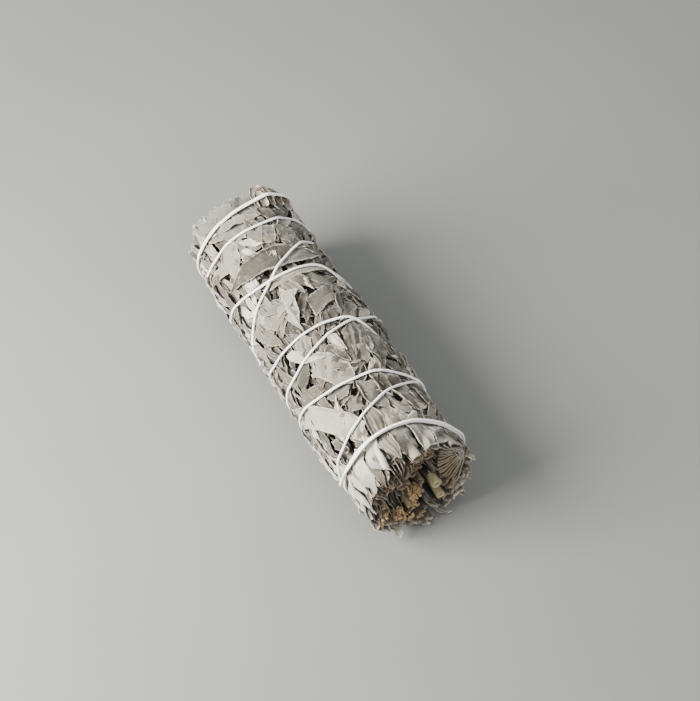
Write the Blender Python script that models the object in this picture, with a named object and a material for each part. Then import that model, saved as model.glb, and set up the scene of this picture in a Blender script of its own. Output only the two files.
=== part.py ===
"""Bundle of dried sage leaves on cut stems, wound with one cotton thread, lying on its side.

The axis runs along X: the cut stems are at +X and the leaf tips at -X. The bundle rests on z = 0.
Lengths in the rules below are in millimetres and angles in degrees. An angle is taken round the
axis: 0 is +Y, 90 is straight up and 180 is -Y.
"""
import random
from math import cos, exp, hypot, pi, radians, sin, sqrt

import bmesh
import bpy
import numpy as np
from mathutils import Matrix, Vector
from mathutils.bvhtree import BVHTree

MM = 0.001
SEED = 41

# Length along the side for each degree round the axis
ARC = 0.325

# Overall sizes
AXIS_HEIGHT = 19.6
OUTER_RADIUS = 19.6
FAR_RADIUS = 18.9
CORE_RADIUS = 15.8
CORE_FAR = -56.5
CORE_NEAR = 50.5
BOTTOM_RADIUS = 17.45
REST_RADIUS = 20.8
REST_EDGE = 18.2
FAR_TIP = -63.5
NEAR_TIP = 59.0

# Farthest places of the leaf tips round the near end: angles and x
NEAR_ANGLES = (0.0, 40.0, 62.0, 95.0, 124.0, 142.0, 160.0, 360.0)
NEAR_PLACES = (59.0, 58.8, 56.8, 55.4, 55.2, 58.0, 59.0, 59.0)

# Leaves
LEAF_THICKNESS = 0.8
LEAF_ROOT = 14.9
LAYER_STEP = 0.97
CELL_ANGLE = 40.0
CELL_LENGTH = 13.5

# Places along a leaf, the part of its width there, and the share of its fold that shows
STATIONS = (0.0, 0.22, 0.52, 0.8, 1.0)
SPREAD = (0.0, 0.86, 1.0, 0.72, 0.0)
FOLD_SHARE = 0.4

# Thread
THREAD_RADIUS = 0.43
THREAD_GAP = 0.28
THREAD_SIDES = 5
WINDING_STEP = 3.0
STEPS_A_POINT = 4
CROSSING_GAP = 0.1
PINCH_DEPTH = 0.75
PINCH_WIDTH = 2.4
BAND_DEPTH = 0.8
KNOT_X = 44.4
KNOT_ANGLE = 217.0
KNOT_SIZE = (1.7, 2.2, 0.95)
KNOT_LEAD = 0.8
KNOT_LIFT = 0.45

# Stems: y, z from the axis, radius, end x, depth in the bunch
STEMS = [
    (6.9, -2.5, 1.7, 57.2, 13.0),
    (4.2, 13.6, 1.5, 55.4, 12.4),
    (8.8, -10.2, 1.5, 56.8, 11.8),
    (-1.6, -9.2, 1.5, 56.2, 12.8),
    (-8.4, 4.0, 1.4, 55.2, 12.6),
    (0.4, 11.4, 1.3, 54.4, 11.6),
]
STEM_GAP = 0.3
STEM_SIDES = 10
HOLE_SIDES = 12
HOLE_END = 70.0

# Dried flower heads between the stems: y, z from the axis, radius, x of the head
BUDS = [(0.2, -4.4, 2.1, 55.8), (-6.3, -11.6, 1.9, 56.2)]
STALK_RADIUS = 0.8
STALK_LENGTH = 12.0
HEAD_GAP = 0.6

# Outline of a flower head: x from the head, radius as a part of the head's
HEAD = ((-1.5, 0.75), (-0.3, 1.0), (0.8, 0.8), (1.7, 0.35))

# Leaves read one by one: base x, base angle, tip x, tip angle, width, fold (+ ridge, - valley)
PLACED = [
    (-64.0, 108.0, -45.0, 106.0, 14.0, -0.9),
    (-63.2, 76.0, -47.0, 66.0, 9.0, 0.9),
    (-63.0, 140.0, -44.0, 136.0, 8.0, 1.0),
    (-51.0, 100.0, -38.0, 92.0, 6.5, 1.1),
    (-47.0, 128.0, -33.0, 140.0, 7.0, 0.9),
    (-42.0, 80.0, -33.0, 64.0, 6.0, 1.0),
    (-43.0, 116.0, -30.0, 128.0, 5.0, 1.3),
    (-29.0, 42.0, -30.0, 150.0, 9.0, -0.5),
    (-21.0, 58.0, -21.5, 122.0, 4.4, 0.5),
    (-21.0, 132.0, -8.0, 134.0, 7.0, -0.6),
    (-19.0, 152.0, -4.0, 138.0, 5.0, 1.0),
    (-19.0, 112.0, -4.0, 114.0, 6.0, 0.9),
    (-14.0, 72.0, -5.0, 96.0, 8.0, -0.6),
    (-9.0, 56.0, -1.0, 76.0, 7.5, -0.5),
    (-14.0, 44.0, -6.0, 30.0, 6.0, 0.9),
    (1.0, 88.0, 13.0, 103.0, 4.6, 1.4),
    (1.0, 70.0, 16.0, 88.0, 7.0, 1.2),
    (-3.0, 118.0, 9.0, 128.0, 6.5, 0.9),
    (10.0, 122.0, 23.0, 100.0, 9.5, -0.6),
    (5.0, 60.0, 20.0, 66.0, 8.5, -0.8),
    (8.0, 42.0, 22.0, 38.0, 6.0, 1.0),
    (14.0, 186.0, 40.0, 120.0, 8.5, -0.6),
    (24.0, 96.0, 38.0, 90.0, 6.5, 1.1),
    (24.0, 70.0, 40.0, 58.0, 7.0, 1.0),
    (27.0, 44.0, 42.0, 34.0, 6.5, 1.0),
    (33.0, 108.0, 50.0, 112.0, 6.0, 1.1),
    (42.0, 142.0, 57.4, 148.0, 8.5, 0.9),
    (43.0, 118.0, 55.0, 126.0, 8.5, -0.8),
    (42.0, 96.0, 55.4, 92.0, 9.0, 0.9),
    (43.0, 68.0, 56.6, 64.0, 9.0, -0.8),
    (42.0, 38.0, 58.4, 33.0, 8.5, 1.0),
    (41.0, 172.0, 58.6, 178.0, 7.0, 1.1),
]

# Fan of stacked leaf edges at the near end: where they meet, their turns, lengths, roots and tips
FAN_COUNT = 7
FAN_MEETING = ((15.0, 11.2), (16.3, 8.2))
FAN_TURN = (141.0, 262.0)
FAN_LENGTH = (7.6, 14.2)
FAN_TIP = 57.4
NEAR_ROOT = 45.0

# Share of its distance from the axis that a standing leaf has at its root, where the thread ties it
WAIST = 0.82

# Leaf edges that fill the far end
FAR_COUNT = 27
FAR_ROOT = -50.0
FAR_SPREAD = 16.0

# Rolled leaves: end x, y, z from the axis, radius, start angle, sweep, tightening
ROLLS = [
    (57.6, -0.7, 16.4, 2.2, 200.0, 300.0, 0.4),
    (56.9, -11.6, -5.2, 3.0, 30.0, 290.0, 0.5),
    (-62.5, 4.0, 9.0, 3.0, 90.0, 300.0, 0.5),
    (-61.5, -7.5, -3.0, 2.6, 250.0, 300.0, 0.4),
]
ROLL_DEPTH = 10.0
ROLL_STEPS = 7

# Leaf edges that stand at the near end: y, z from the axis, turn, width, bend, end x
STANDING = [
    (-5.8, 11.4, 103.0, 8.0, 0.3, 57.2),
    (-7.9, 11.2, 110.0, 9.0, -0.3, 57.6),
    (-4.2, 10.6, 76.0, 6.4, -0.5, 57.4),
    (-7.9, 6.6, 96.0, 6.6, -1.0, 56.5),
    (0.0, 10.6, 141.0, 5.6, 0.9, 56.5),
    (-0.5, 4.6, 177.0, 4.4, 0.7, 55.6),
    (6.4, 6.4, 115.0, 9.5, 0.2, 56.6),
    (18.0, 3.8, 104.0, 5.9, 1.2, 57.0),
    (16.6, -4.8, 121.0, 7.0, -1.6, 57.0),
    (14.2, -9.8, 127.0, 6.0, -1.4, 56.8),
    (9.2, -6.8, 120.0, 4.6, -1.1, 55.9),
    (5.8, -13.4, 127.0, 9.5, 0.6, 57.2),
    (0.4, -11.9, 109.0, 7.0, -0.2, 56.3),
    (-15.2, 1.2, 105.0, 9.5, 0.2, 57.0),
    (-13.2, 1.6, 118.0, 9.0, -0.8, 57.2),
    (-14.4, -8.8, 130.0, 6.0, 0.4, 56.1),
    (-8.4, -7.0, 106.0, 8.0, -0.6, 56.6),
    (-6.4, -14.4, 144.0, 7.6, 1.3, 57.5),
    (-2.0, -14.8, 178.0, 7.0, 0.6, 57.5),
    (6.4, 14.2, 158.0, 6.0, 0.5, 57.2),
    (-12.6, 8.6, 118.0, 7.0, 0.6, 57.0),
    (-10.6, 2.4, 98.0, 5.0, -0.7, 55.6),
]

# Leaf bulges that the bundle lies on: x, angle, length, width
RESTS = [(-24.5, -97.0, 17.0, 10.0), (1.5, -86.0, 16.0, 10.0), (26.0, -91.0, 15.0, 10.0)]

# The thread, ring by ring, as it is wound: angle and x along the side that faces up
RINGS = [
    [(200, 43.2), (174, 43.6), (110, 43.8), (83, 44.4), (53, 46.2), (21, 49.4)],
    [(200, 44.1), (174, 44.5), (110, 44.8), (83, 45.4), (53, 47.2), (21, 50.4)],
    [(186, 40.6), (152, 38.8), (128, 37.0), (105, 34.6), (78, 31.0), (47, 29.0), (21, 27.0)],
    [(186, 8.2), (153, 7.4), (122, 5.2), (98, 3.6), (76, 1.6), (61, 0.6), (34, -1.2)],
    [(178, -17.0), (142, -20.4), (117, -24.0), (100, -27.6), (73, -33.0), (45, -36.4)],
    [(184, -55.4), (146, -54.4), (103, -56.2), (59, -57.0), (30, -56.6)],
    [(184, -54.4), (146, -53.4), (103, -55.2), (59, -56.0), (30, -55.4)],
    [(169, -48.0), (140, -47.2), (99, -46.2), (78, -46.4), (40, -47.6)],
    [(199, -33.4), (158, -29.0), (117, -24.8), (89, -24.0), (60, -24.0), (36, -19.0)],
    [(190, -5.4), (159, -2.4), (128, -2.2), (98, -1.8), (62, 0.4), (44, 5.0), (34, 9.0)],
    [(193, 15.0), (155, 18.2), (127, 20.6), (94, 22.4), (64, 24.0), (41, 26.0), (21, 29.0)],
    [(190, 43.0), (172, 46.8), (140, 47.2), (110, 46.2), (83, 46.4), (53, 48.2), (21, 51.4)],
]


def thread_plan():
    """Angle and x of the thread at even steps, the angle falling by 360 with every ring."""
    angles, places = [], []
    for turn, ring in enumerate(RINGS):
        for angle, x in ring:
            angles.append(360.0 * turn - angle)
            places.append(x)
    angles.insert(0, -KNOT_ANGLE)
    places.insert(0, KNOT_X - KNOT_LEAD)
    angles += [angles[-1] + 80.0, 360.0 * len(RINGS) - KNOT_ANGLE]
    places += [places[-1] - 2.0, KNOT_X + KNOT_LEAD]
    steps = np.arange(angles[0], angles[-1], WINDING_STEP)
    line = np.interp(steps, angles, places)
    kernel = np.hanning(15)
    kernel /= kernel.sum()
    line = np.convolve(np.pad(line, 7, mode="edge"), kernel, mode="valid")
    return -steps, line


THREAD_ANGLE, THREAD_X = thread_plan()


def thread_distance(x, angle):
    """Distance on the unrolled side from a place to the nearest part of the thread."""
    turn = (angle - THREAD_ANGLE + 180.0) % 360.0 - 180.0
    return float(np.sqrt((turn * ARC) ** 2 + (x - THREAD_X) ** 2).min())


def top_radius(x, angle):
    """Greatest radius that the leaves reach at a place on the side."""
    far = min(max((-44.0 - x) / 18.0, 0.0), 1.0)
    top = OUTER_RADIUS + (FAR_RADIUS - OUTER_RADIUS) * far
    top += 0.35 * sin(radians(2.0 * angle + 4.0 * x)) + 0.25 * sin(radians(3.0 * angle - 7.0 * x))
    down = abs((angle + 90.0 + 180.0) % 360.0 - 180.0)
    near = thread_distance(x, angle)
    if down < 50.0:
        free = min(max((near - 3.0) / 3.0, 0.0), 1.0)
        top = min(top, BOTTOM_RADIUS + 0.9 * free + max(0.0, down - 28.0) * 0.05)
    band = exp(-(((x - 46.0) / 4.0) ** 2)) + 0.7 * exp(-(((x + 55.0) / 3.0) ** 2))
    return top - PINCH_DEPTH * exp(-((near / PINCH_WIDTH) ** 2)) - BAND_DEPTH * band


def place(x, angle, radius):
    """Point of the bundle in metres."""
    a = radians(angle)
    return Vector((x * MM, radius * cos(a) * MM, (AXIS_HEIGHT + radius * sin(a)) * MM))


def solid(name, verts, faces, collection=None):
    mesh = bpy.data.meshes.new(name)
    mesh.from_pydata([tuple(v) for v in verts], [], faces)
    mesh.update()
    obj = bpy.data.objects.new(name, mesh)
    (collection or bpy.context.scene.collection).objects.link(obj)
    return obj


def shell(rows, thickness_side):
    """Closed blade from a grid of points and the grid of its other side, split alike."""
    count, width = len(rows), len(rows[0])
    verts = [p for row in rows for p in row] + [p for row in thickness_side for p in row]
    half = count * width
    faces = []
    for i in range(count - 1):
        for j in range(width - 1):
            a, b = i * width + j, i * width + j + 1
            c, d = a + width, b + width
            if (i + j) % 2:
                tris = [(a, b, d), (a, d, c)]
            else:
                tris = [(a, b, c), (b, d, c)]
            for p, q, r in tris:
                faces.append((p, q, r))
                faces.append((r + half, q + half, p + half))
    ring = [i * width for i in range(count)]
    ring += [(count - 1) * width + j for j in range(1, width)]
    ring += [i * width + width - 1 for i in range(count - 2, -1, -1)]
    ring += [j for j in range(width - 2, 0, -1)]
    for k, a in enumerate(ring):
        b = ring[(k + 1) % len(ring)]
        faces.append((a, b, b + half))
        faces.append((a, b + half, a + half))
    return verts, faces


class Side:
    """Height of the leaf layer over the unrolled side of the bundle."""
    START = -70.0
    END = 66.0
    STEP_X = 1.5
    STEP_ANGLE = 5.0

    def __init__(self):
        self.rows = int((self.END - self.START) / self.STEP_X) + 1
        self.columns = int(360.0 / self.STEP_ANGLE)
        self.height = np.full((self.rows, self.columns), CORE_RADIUS)

    def index(self, x, angle):
        row = int(round((x - self.START) / self.STEP_X))
        return min(max(row, 0), self.rows - 1), int(round(angle / self.STEP_ANGLE)) % self.columns

    def over(self, x, angle, reach):
        turn = reach / ARC
        return max(self.height[self.index(x + dx, angle + da)]
                   for dx in (-reach, 0.0, reach) for da in (-turn, 0.0, turn))

    def raise_to(self, x, angle, radius):
        spot = self.index(x, angle)
        self.height[spot] = max(self.height[spot], radius)

    def cover(self, first, last):
        """Raised under the patch between two rows of a leaf."""
        shares = (0.0, 0.25, 0.5, 0.75, 1.0)
        for t in shares:
            for v in shares:
                near = [(1.0 - v) * a + v * b for a, b in zip(first[0], first[-1])]
                far = [(1.0 - v) * a + v * b for a, b in zip(last[0], last[-1])]
                self.raise_to(*[(1.0 - t) * a + t * b for a, b in zip(near, far)])


def leaf(side, base_x, base_angle, tip_x, tip_angle, width, fold, rng, rest=False):
    """Blade pressed on the layer below it, its edge waved and its sides folded on the midrib."""
    run = (tip_x - base_x, (tip_angle - base_angle) * ARC)
    length = hypot(*run)
    along = (run[0] / length, run[1] / length)
    across = (-along[1], along[0])
    bend = rng.uniform(-0.08, 0.08) * length
    outline = []
    for t, spread in zip(STATIONS, SPREAD):
        half = 0.5 * width * spread * rng.uniform(0.85, 1.15)
        curve = bend * sin(pi * t)
        cells = []
        for v in ((-1.0, 0.0, 1.0) if spread else (0.0,)):
            offset = curve + v * half
            x = base_x + along[0] * length * t + across[0] * offset
            angle = base_angle + (along[1] * length * t + across[1] * offset) / ARC
            crease = (1.0 if v == 0.0 else -1.0) * fold * max(spread, 0.3)
            radius = side.over(x, angle, 1.1) + LAYER_STEP + FOLD_SHARE * crease
            limit = top_radius(x, angle)
            if radius > limit:
                radius = limit - 0.5 * (1.0 - exp(-(radius - limit) / 0.9)) + 0.25
            if rest:
                radius = REST_RADIUS if v == 0.0 and 0.0 < t < 1.0 else REST_EDGE
            cells.append((x, angle, radius))
        outline.append(cells)
    for first, last in zip(outline, outline[1:]):
        side.cover(first, last)
    return pointed(outline)


def pointed(outline):
    """Closed leaf from a point, rows of three and a point, both faces split alike."""
    flat = [c for cells in outline for c in cells]
    verts = [place(*c) for c in flat]
    for x, angle, radius in flat:
        free = x < CORE_FAR + 1.5 or x > CORE_NEAR - 1.5
        verts.append(place(x, angle, radius - LEAF_THICKNESS if free else LEAF_ROOT))
    n = len(flat)
    rows = (n - 2) // 3
    tris = [(0, 2, 1), (0, 3, 2)]
    for i in range(rows - 1):
        a = 1 + 3 * i
        tris += [(a, a + 1, a + 4), (a, a + 4, a + 3), (a + 1, a + 2, a + 4), (a + 2, a + 5, a + 4)]
    a = 1 + 3 * (rows - 1)
    tris += [(a, a + 1, n - 1), (a + 1, a + 2, n - 1)]
    faces = []
    for p, q, r in tris:
        faces.append((p, q, r))
        faces.append((r + n, q + n, p + n))
    ring = [0] + [1 + 3 * i for i in range(rows)] + [n - 1] + [3 + 3 * i for i in range(rows - 1, -1, -1)]
    for k, a in enumerate(ring):
        b = ring[(k + 1) % len(ring)]
        faces.append((a, b, b + n))
        faces.append((a, b + n, a + n))
    return verts, faces


def filling(rng):
    """Seeded leaves in jittered cells over the whole side, in the form of the placed ones."""
    cells = []
    for i in range(int((CORE_NEAR - CORE_FAR) / CELL_LENGTH) + 1):
        for j in range(int(round(360.0 / CELL_ANGLE))):
            cells.append((CORE_FAR + (i + 0.25) * CELL_LENGTH, (j + 0.5 * (i % 2)) * CELL_ANGLE))
    rng.shuffle(cells)
    for x, angle in cells:
        x += rng.uniform(-3.0, 3.0)
        angle += rng.uniform(-7.0, 7.0)
        length = rng.uniform(15.0, 23.0)
        width = rng.uniform(6.5, 9.5)
        fold = rng.choice((-1.0, 0.8, 1.1, 1.4))
        heading = rng.gauss(0.0, 26.0) + (180.0 if rng.random() < 0.4 else 0.0)
        left = abs((angle - 185.0 + 180.0) % 360.0 - 180.0) < 30.0
        under = (angle % 360.0) > 215.0 or (angle % 360.0) < 10.0
        if under:
            length *= 1.25
            width *= 1.35
            fold *= 0.8
        if left or (rng.random() < 0.25 and not under):
            width *= 0.68
            fold = abs(fold) + 0.3
            heading *= 0.5
        dx = 0.5 * length * cos(radians(heading))
        turn = 0.5 * length * sin(radians(heading)) / ARC
        base_x = min(max(x - dx, FAR_TIP + 0.5), NEAR_TIP - 0.5)
        limit = np.interp((angle + turn) % 360.0, NEAR_ANGLES, NEAR_PLACES)
        tip_x = min(max(x + dx, FAR_TIP), limit)
        if abs(tip_x - base_x) > 4.0 or abs(turn) > 6.0:
            yield base_x, angle - turn, tip_x, angle + turn, width, fold


def side_leaves(collection):
    """The filling, the placed leaves on top of it and the bulges that carry the weight."""
    rng = random.Random(SEED)
    side = Side()
    made = [leaf(side, *item, rng) for item in filling(rng)]
    made += [leaf(side, *item, rng) for item in PLACED]
    for x, angle, length, width in RESTS:
        made.append(leaf(side, x - 0.5 * length, angle, x + 0.5 * length, angle, width, 0.6, rng, True))
    for number, (verts, faces) in enumerate(made):
        solid("side_%d" % number, verts, faces, collection)


def end_point(x, y, z):
    """Point at an end of the bundle in metres, y and z from the axis."""
    return Vector((x * MM, y * MM, (AXIS_HEIGHT + z) * MM))


def blade(x_root, x_tip, y, z, turn, width, bend, lean, rng):
    """Leaf that stands along the axis at an end, curved across and cut ragged at its tip."""
    rows, under = [], []
    out = 1.0 if x_tip > x_root else -1.0
    c, s = cos(radians(turn)), sin(radians(turn))
    jag = [rng.uniform(0.0, 1.6) for _ in range(3)]
    for t in (0.0, 0.6, 1.0):
        row, deep = [], []
        draw = WAIST + (1.0 - WAIST) * t
        for k, v in enumerate((-1.0, 0.0, 1.0)):
            across = v * 0.5 * width * (0.75 + 0.25 * t)
            middle = bend * (1.0 - v * v) * (0.4 + 0.6 * t) + lean * t
            x = x_root + (x_tip - x_root) * t - (out * jag[k] if t == 1.0 else 0.0)
            for face, cells in ((0.5, row), (-0.5, deep)):
                off = middle + face * LEAF_THICKNESS
                cells.append(end_point(x, draw * y + c * across - s * off, draw * z + s * across + c * off))
        rows.append(row)
        under.append(deep)
    return shell(rows, under)


def roll(x_root, x_tip, y, z, radius, start, sweep, tighten):
    """Leaf rolled to a tube: an open scroll in section."""
    rows, under = [], []
    for k in range(ROLL_STEPS + 1):
        a = radians(start + sweep * k / ROLL_STEPS)
        middle = radius - tighten * k / ROLL_STEPS
        row, deep = [], []
        for x in (x_root, x_tip - 0.5 * (k % 2)):
            for face, cells in ((0.5, row), (-0.5, deep)):
                r = middle + face * LEAF_THICKNESS
                cells.append(end_point(x, y + r * cos(a), z + r * sin(a)))
        rows.append(row)
        under.append(deep)
    return shell(rows, under)


def between(pair, share):
    return pair[0] + (pair[1] - pair[0]) * share


def fan(rng):
    """Stacked leaves whose edges spread from about one place."""
    (y0, z0), (y1, z1) = FAN_MEETING
    for k in range(FAN_COUNT):
        share = k / (FAN_COUNT - 1)
        turn = between(FAN_TURN, share)
        long = between(FAN_LENGTH, share * share)
        y = between((y0, y1), share) + 0.5 * long * cos(radians(turn))
        z = between((z0, z1), share) + 0.5 * long * sin(radians(turn))
        yield blade(NEAR_ROOT, FAN_TIP - 0.4 * (k % 2), y, z, turn, long, 0.5, 0.0, rng)


def far_filling(rng):
    """Seeded leaf tips over the far end, clear of its rolled leaves."""
    rolls = [item[1:4] for item in ROLLS if item[0] < 0.0]
    for k in range(FAR_COUNT):
        reach = FAR_SPREAD * sqrt((k + 0.6) / FAR_COUNT)
        phi = 137.5 * k + rng.uniform(-12.0, 12.0)
        y, z = reach * cos(radians(phi)), reach * sin(radians(phi))
        if all(hypot(y - p, z - q) > r + 1.5 for p, q, r in rolls):
            turn = phi + 90.0 + rng.uniform(-38.0, 38.0)
            width, bend, lean = rng.uniform(5.5, 8.0), rng.uniform(-1.1, 1.1), rng.uniform(-0.8, 0.8)
            yield blade(FAR_ROOT, rng.uniform(-63.6, -60.4), y, z, turn, width, bend, lean, rng)


def end_leaves(collection):
    """Leaf edges that stand at both ends: a fan, rolled leaves, placed edges and a seeded filling."""
    rng = random.Random(SEED + 7)
    made = list(fan(rng))
    for x_tip, *scroll in ROLLS:
        root = x_tip - ROLL_DEPTH if x_tip > 0 else x_tip + ROLL_DEPTH
        made.append(roll(root, x_tip, *scroll))
    for y, z, turn, width, bend, x_tip in STANDING:
        made.append(blade(NEAR_ROOT, x_tip, y, z, turn, width, bend, rng.uniform(-0.5, 0.5), rng))
    made += far_filling(rng)
    for number, (verts, faces) in enumerate(made):
        solid("end_%d" % number, verts, faces, collection)


def tube_faces(rows, sides):
    """Sides of a closed tube of rings, in triangles, with a cap at each end."""
    faces = []
    for i in range(rows - 1):
        for k in range(sides):
            a, b = i * sides + k, i * sides + (k + 1) % sides
            faces += [(a, b, b + sides), (a, b + sides, a + sides)]
    faces.append(list(range(sides - 1, -1, -1)))
    faces.append(list(range((rows - 1) * sides, rows * sides)))
    return faces


def core_solid():
    """Packed inside of the bunch."""
    xs = [CORE_FAR, CORE_FAR + 0.9, -40.0, -20.0, 0.0, 20.0, 36.0, CORE_NEAR - 1.0, CORE_NEAR]
    sides = 24
    rng = random.Random(SEED + 3)
    verts = []
    for i, x in enumerate(xs):
        scale = 0.9 if x in (CORE_FAR, CORE_NEAR) else 1.0
        for k in range(sides):
            pleat = (0.5 if k % 2 else -0.3) + rng.uniform(-0.2, 0.2)
            verts.append(place(x, 360.0 * (k + 0.5 * (i % 2)) / sides, scale * (CORE_RADIUS + pleat)))
    return solid("leaf_bunch", verts, tube_faces(len(xs), sides))


def outward(obj):
    """Faces made to look outward, whichever way the rule wound them."""
    bm = bmesh.new()
    bm.from_mesh(obj.data)
    bmesh.ops.triangulate(bm, faces=bm.faces)
    if bm.calc_volume(signed=True) < 0.0:
        bmesh.ops.reverse_faces(bm, faces=bm.faces)
    bm.to_mesh(obj.data)
    bm.free()


def new_collection(name):
    collection = bpy.data.collections.new(name)
    bpy.context.scene.collection.children.link(collection)
    return collection


def combine(obj, collection, operation):
    """One Boolean with every solid of a collection, applied, and the collection removed."""
    for item in collection.objects:
        outward(item)
    mod = obj.modifiers.new("combine", "BOOLEAN")
    mod.operand_type = "COLLECTION"
    mod.collection = collection
    mod.operation = operation
    mod.solver = "MANIFOLD"
    graph = bpy.context.evaluated_depsgraph_get()
    mesh = bpy.data.meshes.new_from_object(obj.evaluated_get(graph))
    obj.modifiers.remove(mod)
    obj.data = mesh
    for item in list(collection.objects):
        bpy.data.objects.remove(item)
    bpy.data.collections.remove(collection)
    drop_scraps(obj)


def simplify(obj):
    """Points of the join that shape nothing taken out."""
    bm = bmesh.new()
    bm.from_mesh(obj.data)
    bmesh.ops.dissolve_limit(bm, angle_limit=radians(6.0), use_dissolve_boundaries=False,
                             verts=bm.verts, edges=bm.edges, delimit=set())
    bmesh.ops.triangulate(bm, faces=bm.faces)
    bm.to_mesh(obj.data)
    bm.free()


def linked_group(start):
    """Every vertex that edges join to the first one."""
    stack, group = [start], {start}
    while stack:
        for edge in stack.pop().link_edges:
            for vert in edge.verts:
                if vert not in group:
                    group.add(vert)
                    stack.append(vert)
    return group


def drop_scraps(obj):
    """Loose crumbs of a join removed, the largest piece kept."""
    bm = bmesh.new()
    bm.from_mesh(obj.data)
    groups, left = [], set(bm.verts)
    while left:
        group = linked_group(next(iter(left)))
        left -= group
        groups.append(group)
    groups.sort(key=len, reverse=True)
    for group in groups[1:]:
        bmesh.ops.delete(bm, geom=list(group), context="VERTS")
    bm.to_mesh(obj.data)
    bm.free()


def prism(name, y, z, radius, x0, x1, sides, collection=None, oval=0.0):
    """Straight round or slightly oval rod along the axis."""
    verts = []
    for x in (x0, x1):
        for k in range(sides):
            a = 2.0 * pi * k / sides
            r = radius * (1.0 + oval * cos(2.0 * a + y))
            verts.append(end_point(x, y + r * cos(a), z + r * sin(a)))
    obj = solid(name, verts, tube_faces(2, sides), collection)
    outward(obj)
    return obj


def ground_radius(tree, x, angle):
    """Radius of the leaves under one place of the thread."""
    a = radians(angle)
    best = CORE_RADIUS - 0.8
    for dx in np.linspace(-0.75, 0.75, 7):
        hit = tree.ray_cast(place(x + dx, angle, 30.0), Vector((0.0, -cos(a), -sin(a))))[0]
        if hit is not None:
            best = max(best, hypot(hit.y, hit.z - AXIS_HEIGHT * MM) / MM)
    return best


def tighten(radius):
    """Radii raised to the straight line between neighbours, as a taut thread lies."""
    step = STEPS_A_POINT
    for _ in range(40):
        before, after = radius[:-2 * step], radius[2 * step:]
        chord = 2.0 * before * after * cos(radians(WINDING_STEP * step)) / (before + after)
        radius[step:-step] = np.maximum(radius[step:-step], chord)
    return radius


def thread_line(tree):
    """Points of the thread drawn tight over the leaves, later rings over earlier ones."""
    count, ring, step = len(THREAD_ANGLE), int(round(360.0 / WINDING_STEP)), STEPS_A_POINT
    ground = np.array([ground_radius(tree, x, angle) for x, angle in zip(THREAD_X, THREAD_ANGLE)])
    ground += THREAD_GAP + THREAD_RADIUS
    radius = tighten(np.array([ground[max(i - step, 0):i + step + 1].max() for i in range(count)]))
    for _ in range(2):
        for i in range(count):
            for j in range(i - ring, -1, -ring):
                pairs = [(min(max(i + k, 0), count - 1), min(max(j + k, 0), count - 1)) for k in (-3, 0, 3)]
                if min(abs(THREAD_X[p] - THREAD_X[q]) for p, q in pairs) < 2.0 * THREAD_RADIUS:
                    under = radius[max(j - 2, 0):j + 3].max()
                    radius[i] = max(radius[i], under + 2.0 * THREAD_RADIUS + CROSSING_GAP)
        radius = tighten(radius)
    chosen = list(range(0, count - 1, step)) + [count - 1]
    line = [[float(THREAD_X[i]), float(THREAD_ANGLE[i]), float(radius[i])] for i in chosen]
    knot = max(point[2] for point in (line[0], line[1], line[-2], line[-1])) + KNOT_LIFT
    line[0][2] = line[-1][2] = knot
    return line


def knot_solid(middle, collection):
    """Low lump of the knot that closes the winding."""
    a = radians(KNOT_ANGLE)
    out, aside, ahead = Vector((0.0, cos(a), sin(a))), Vector((0.0, -sin(a), cos(a))), Vector((1.0, 0.0, 0.0))
    along, wide, high = KNOT_SIZE
    rows, sides = 5, 8
    verts = []
    for i in range(rows):
        t = pi * (i + 0.5) / rows
        for k in range(sides):
            phi = 2.0 * pi * k / sides
            spot = aside * cos(t) * wide + ahead * sin(t) * cos(phi) * along + out * sin(t) * sin(phi) * high
            verts.append(middle + spot * MM)
    solid("knot", verts, tube_faces(rows, sides), collection)


def thread_solid(line):
    """Round strand swept along the line, its ends joined in the knot."""
    points = [place(*spot) for spot in line]
    verts = []
    for i, point in enumerate(points):
        ahead = points[min(i + 1, len(points) - 1)] - points[max(i - 1, 0)]
        ahead.normalize()
        a = radians(line[i][1])
        out = Vector((0.0, cos(a), sin(a)))
        out = (out - ahead * out.dot(ahead)).normalized()
        aside = ahead.cross(out)
        for k in range(THREAD_SIDES):
            phi = 2.0 * pi * k / THREAD_SIDES
            verts.append(point + (out * cos(phi) + aside * sin(phi)) * THREAD_RADIUS * MM)
    obj = solid("binding_thread", verts, tube_faces(len(points), THREAD_SIDES))
    outward(obj)
    knots = new_collection("knots")
    knot_solid(0.5 * (points[0] + points[-1]), knots)
    combine(obj, knots, "UNION")
    return obj


def paint(obj, name, colour, roughness):
    material = bpy.data.materials.new(name)
    material.use_nodes = True
    shader = material.node_tree.nodes["Principled BSDF"]
    shader.inputs["Base Color"].default_value = (*colour, 1.0)
    shader.inputs["Roughness"].default_value = roughness
    material.diffuse_color = (*colour, 1.0)
    obj.data.materials.clear()
    obj.data.materials.append(material)


def bud(index, y, z, radius, x):
    """Dried flower head on a short stalk that stands in a hole."""
    rng = random.Random(SEED + 30 + index)
    sides = 8
    rings = [(-STALK_LENGTH, STALK_RADIUS, 0.0), (-2.2, STALK_RADIUS, 0.0)]
    rings += [(dx, part * radius, 0.14) for dx, part in HEAD[:-1]]
    rings.append((HEAD[-1][0], HEAD[-1][1] * radius, 0.0))
    verts = []
    for dx, r, uneven in rings:
        for k in range(sides):
            a = 2.0 * pi * k / sides
            reach = r * (1.0 + rng.uniform(-uneven, uneven))
            verts.append(end_point(x + dx, y + reach * cos(a), z + reach * sin(a)))
    obj = solid("bud_%d" % index, verts, tube_faces(len(rings), sides))
    outward(obj)
    return obj


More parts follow.
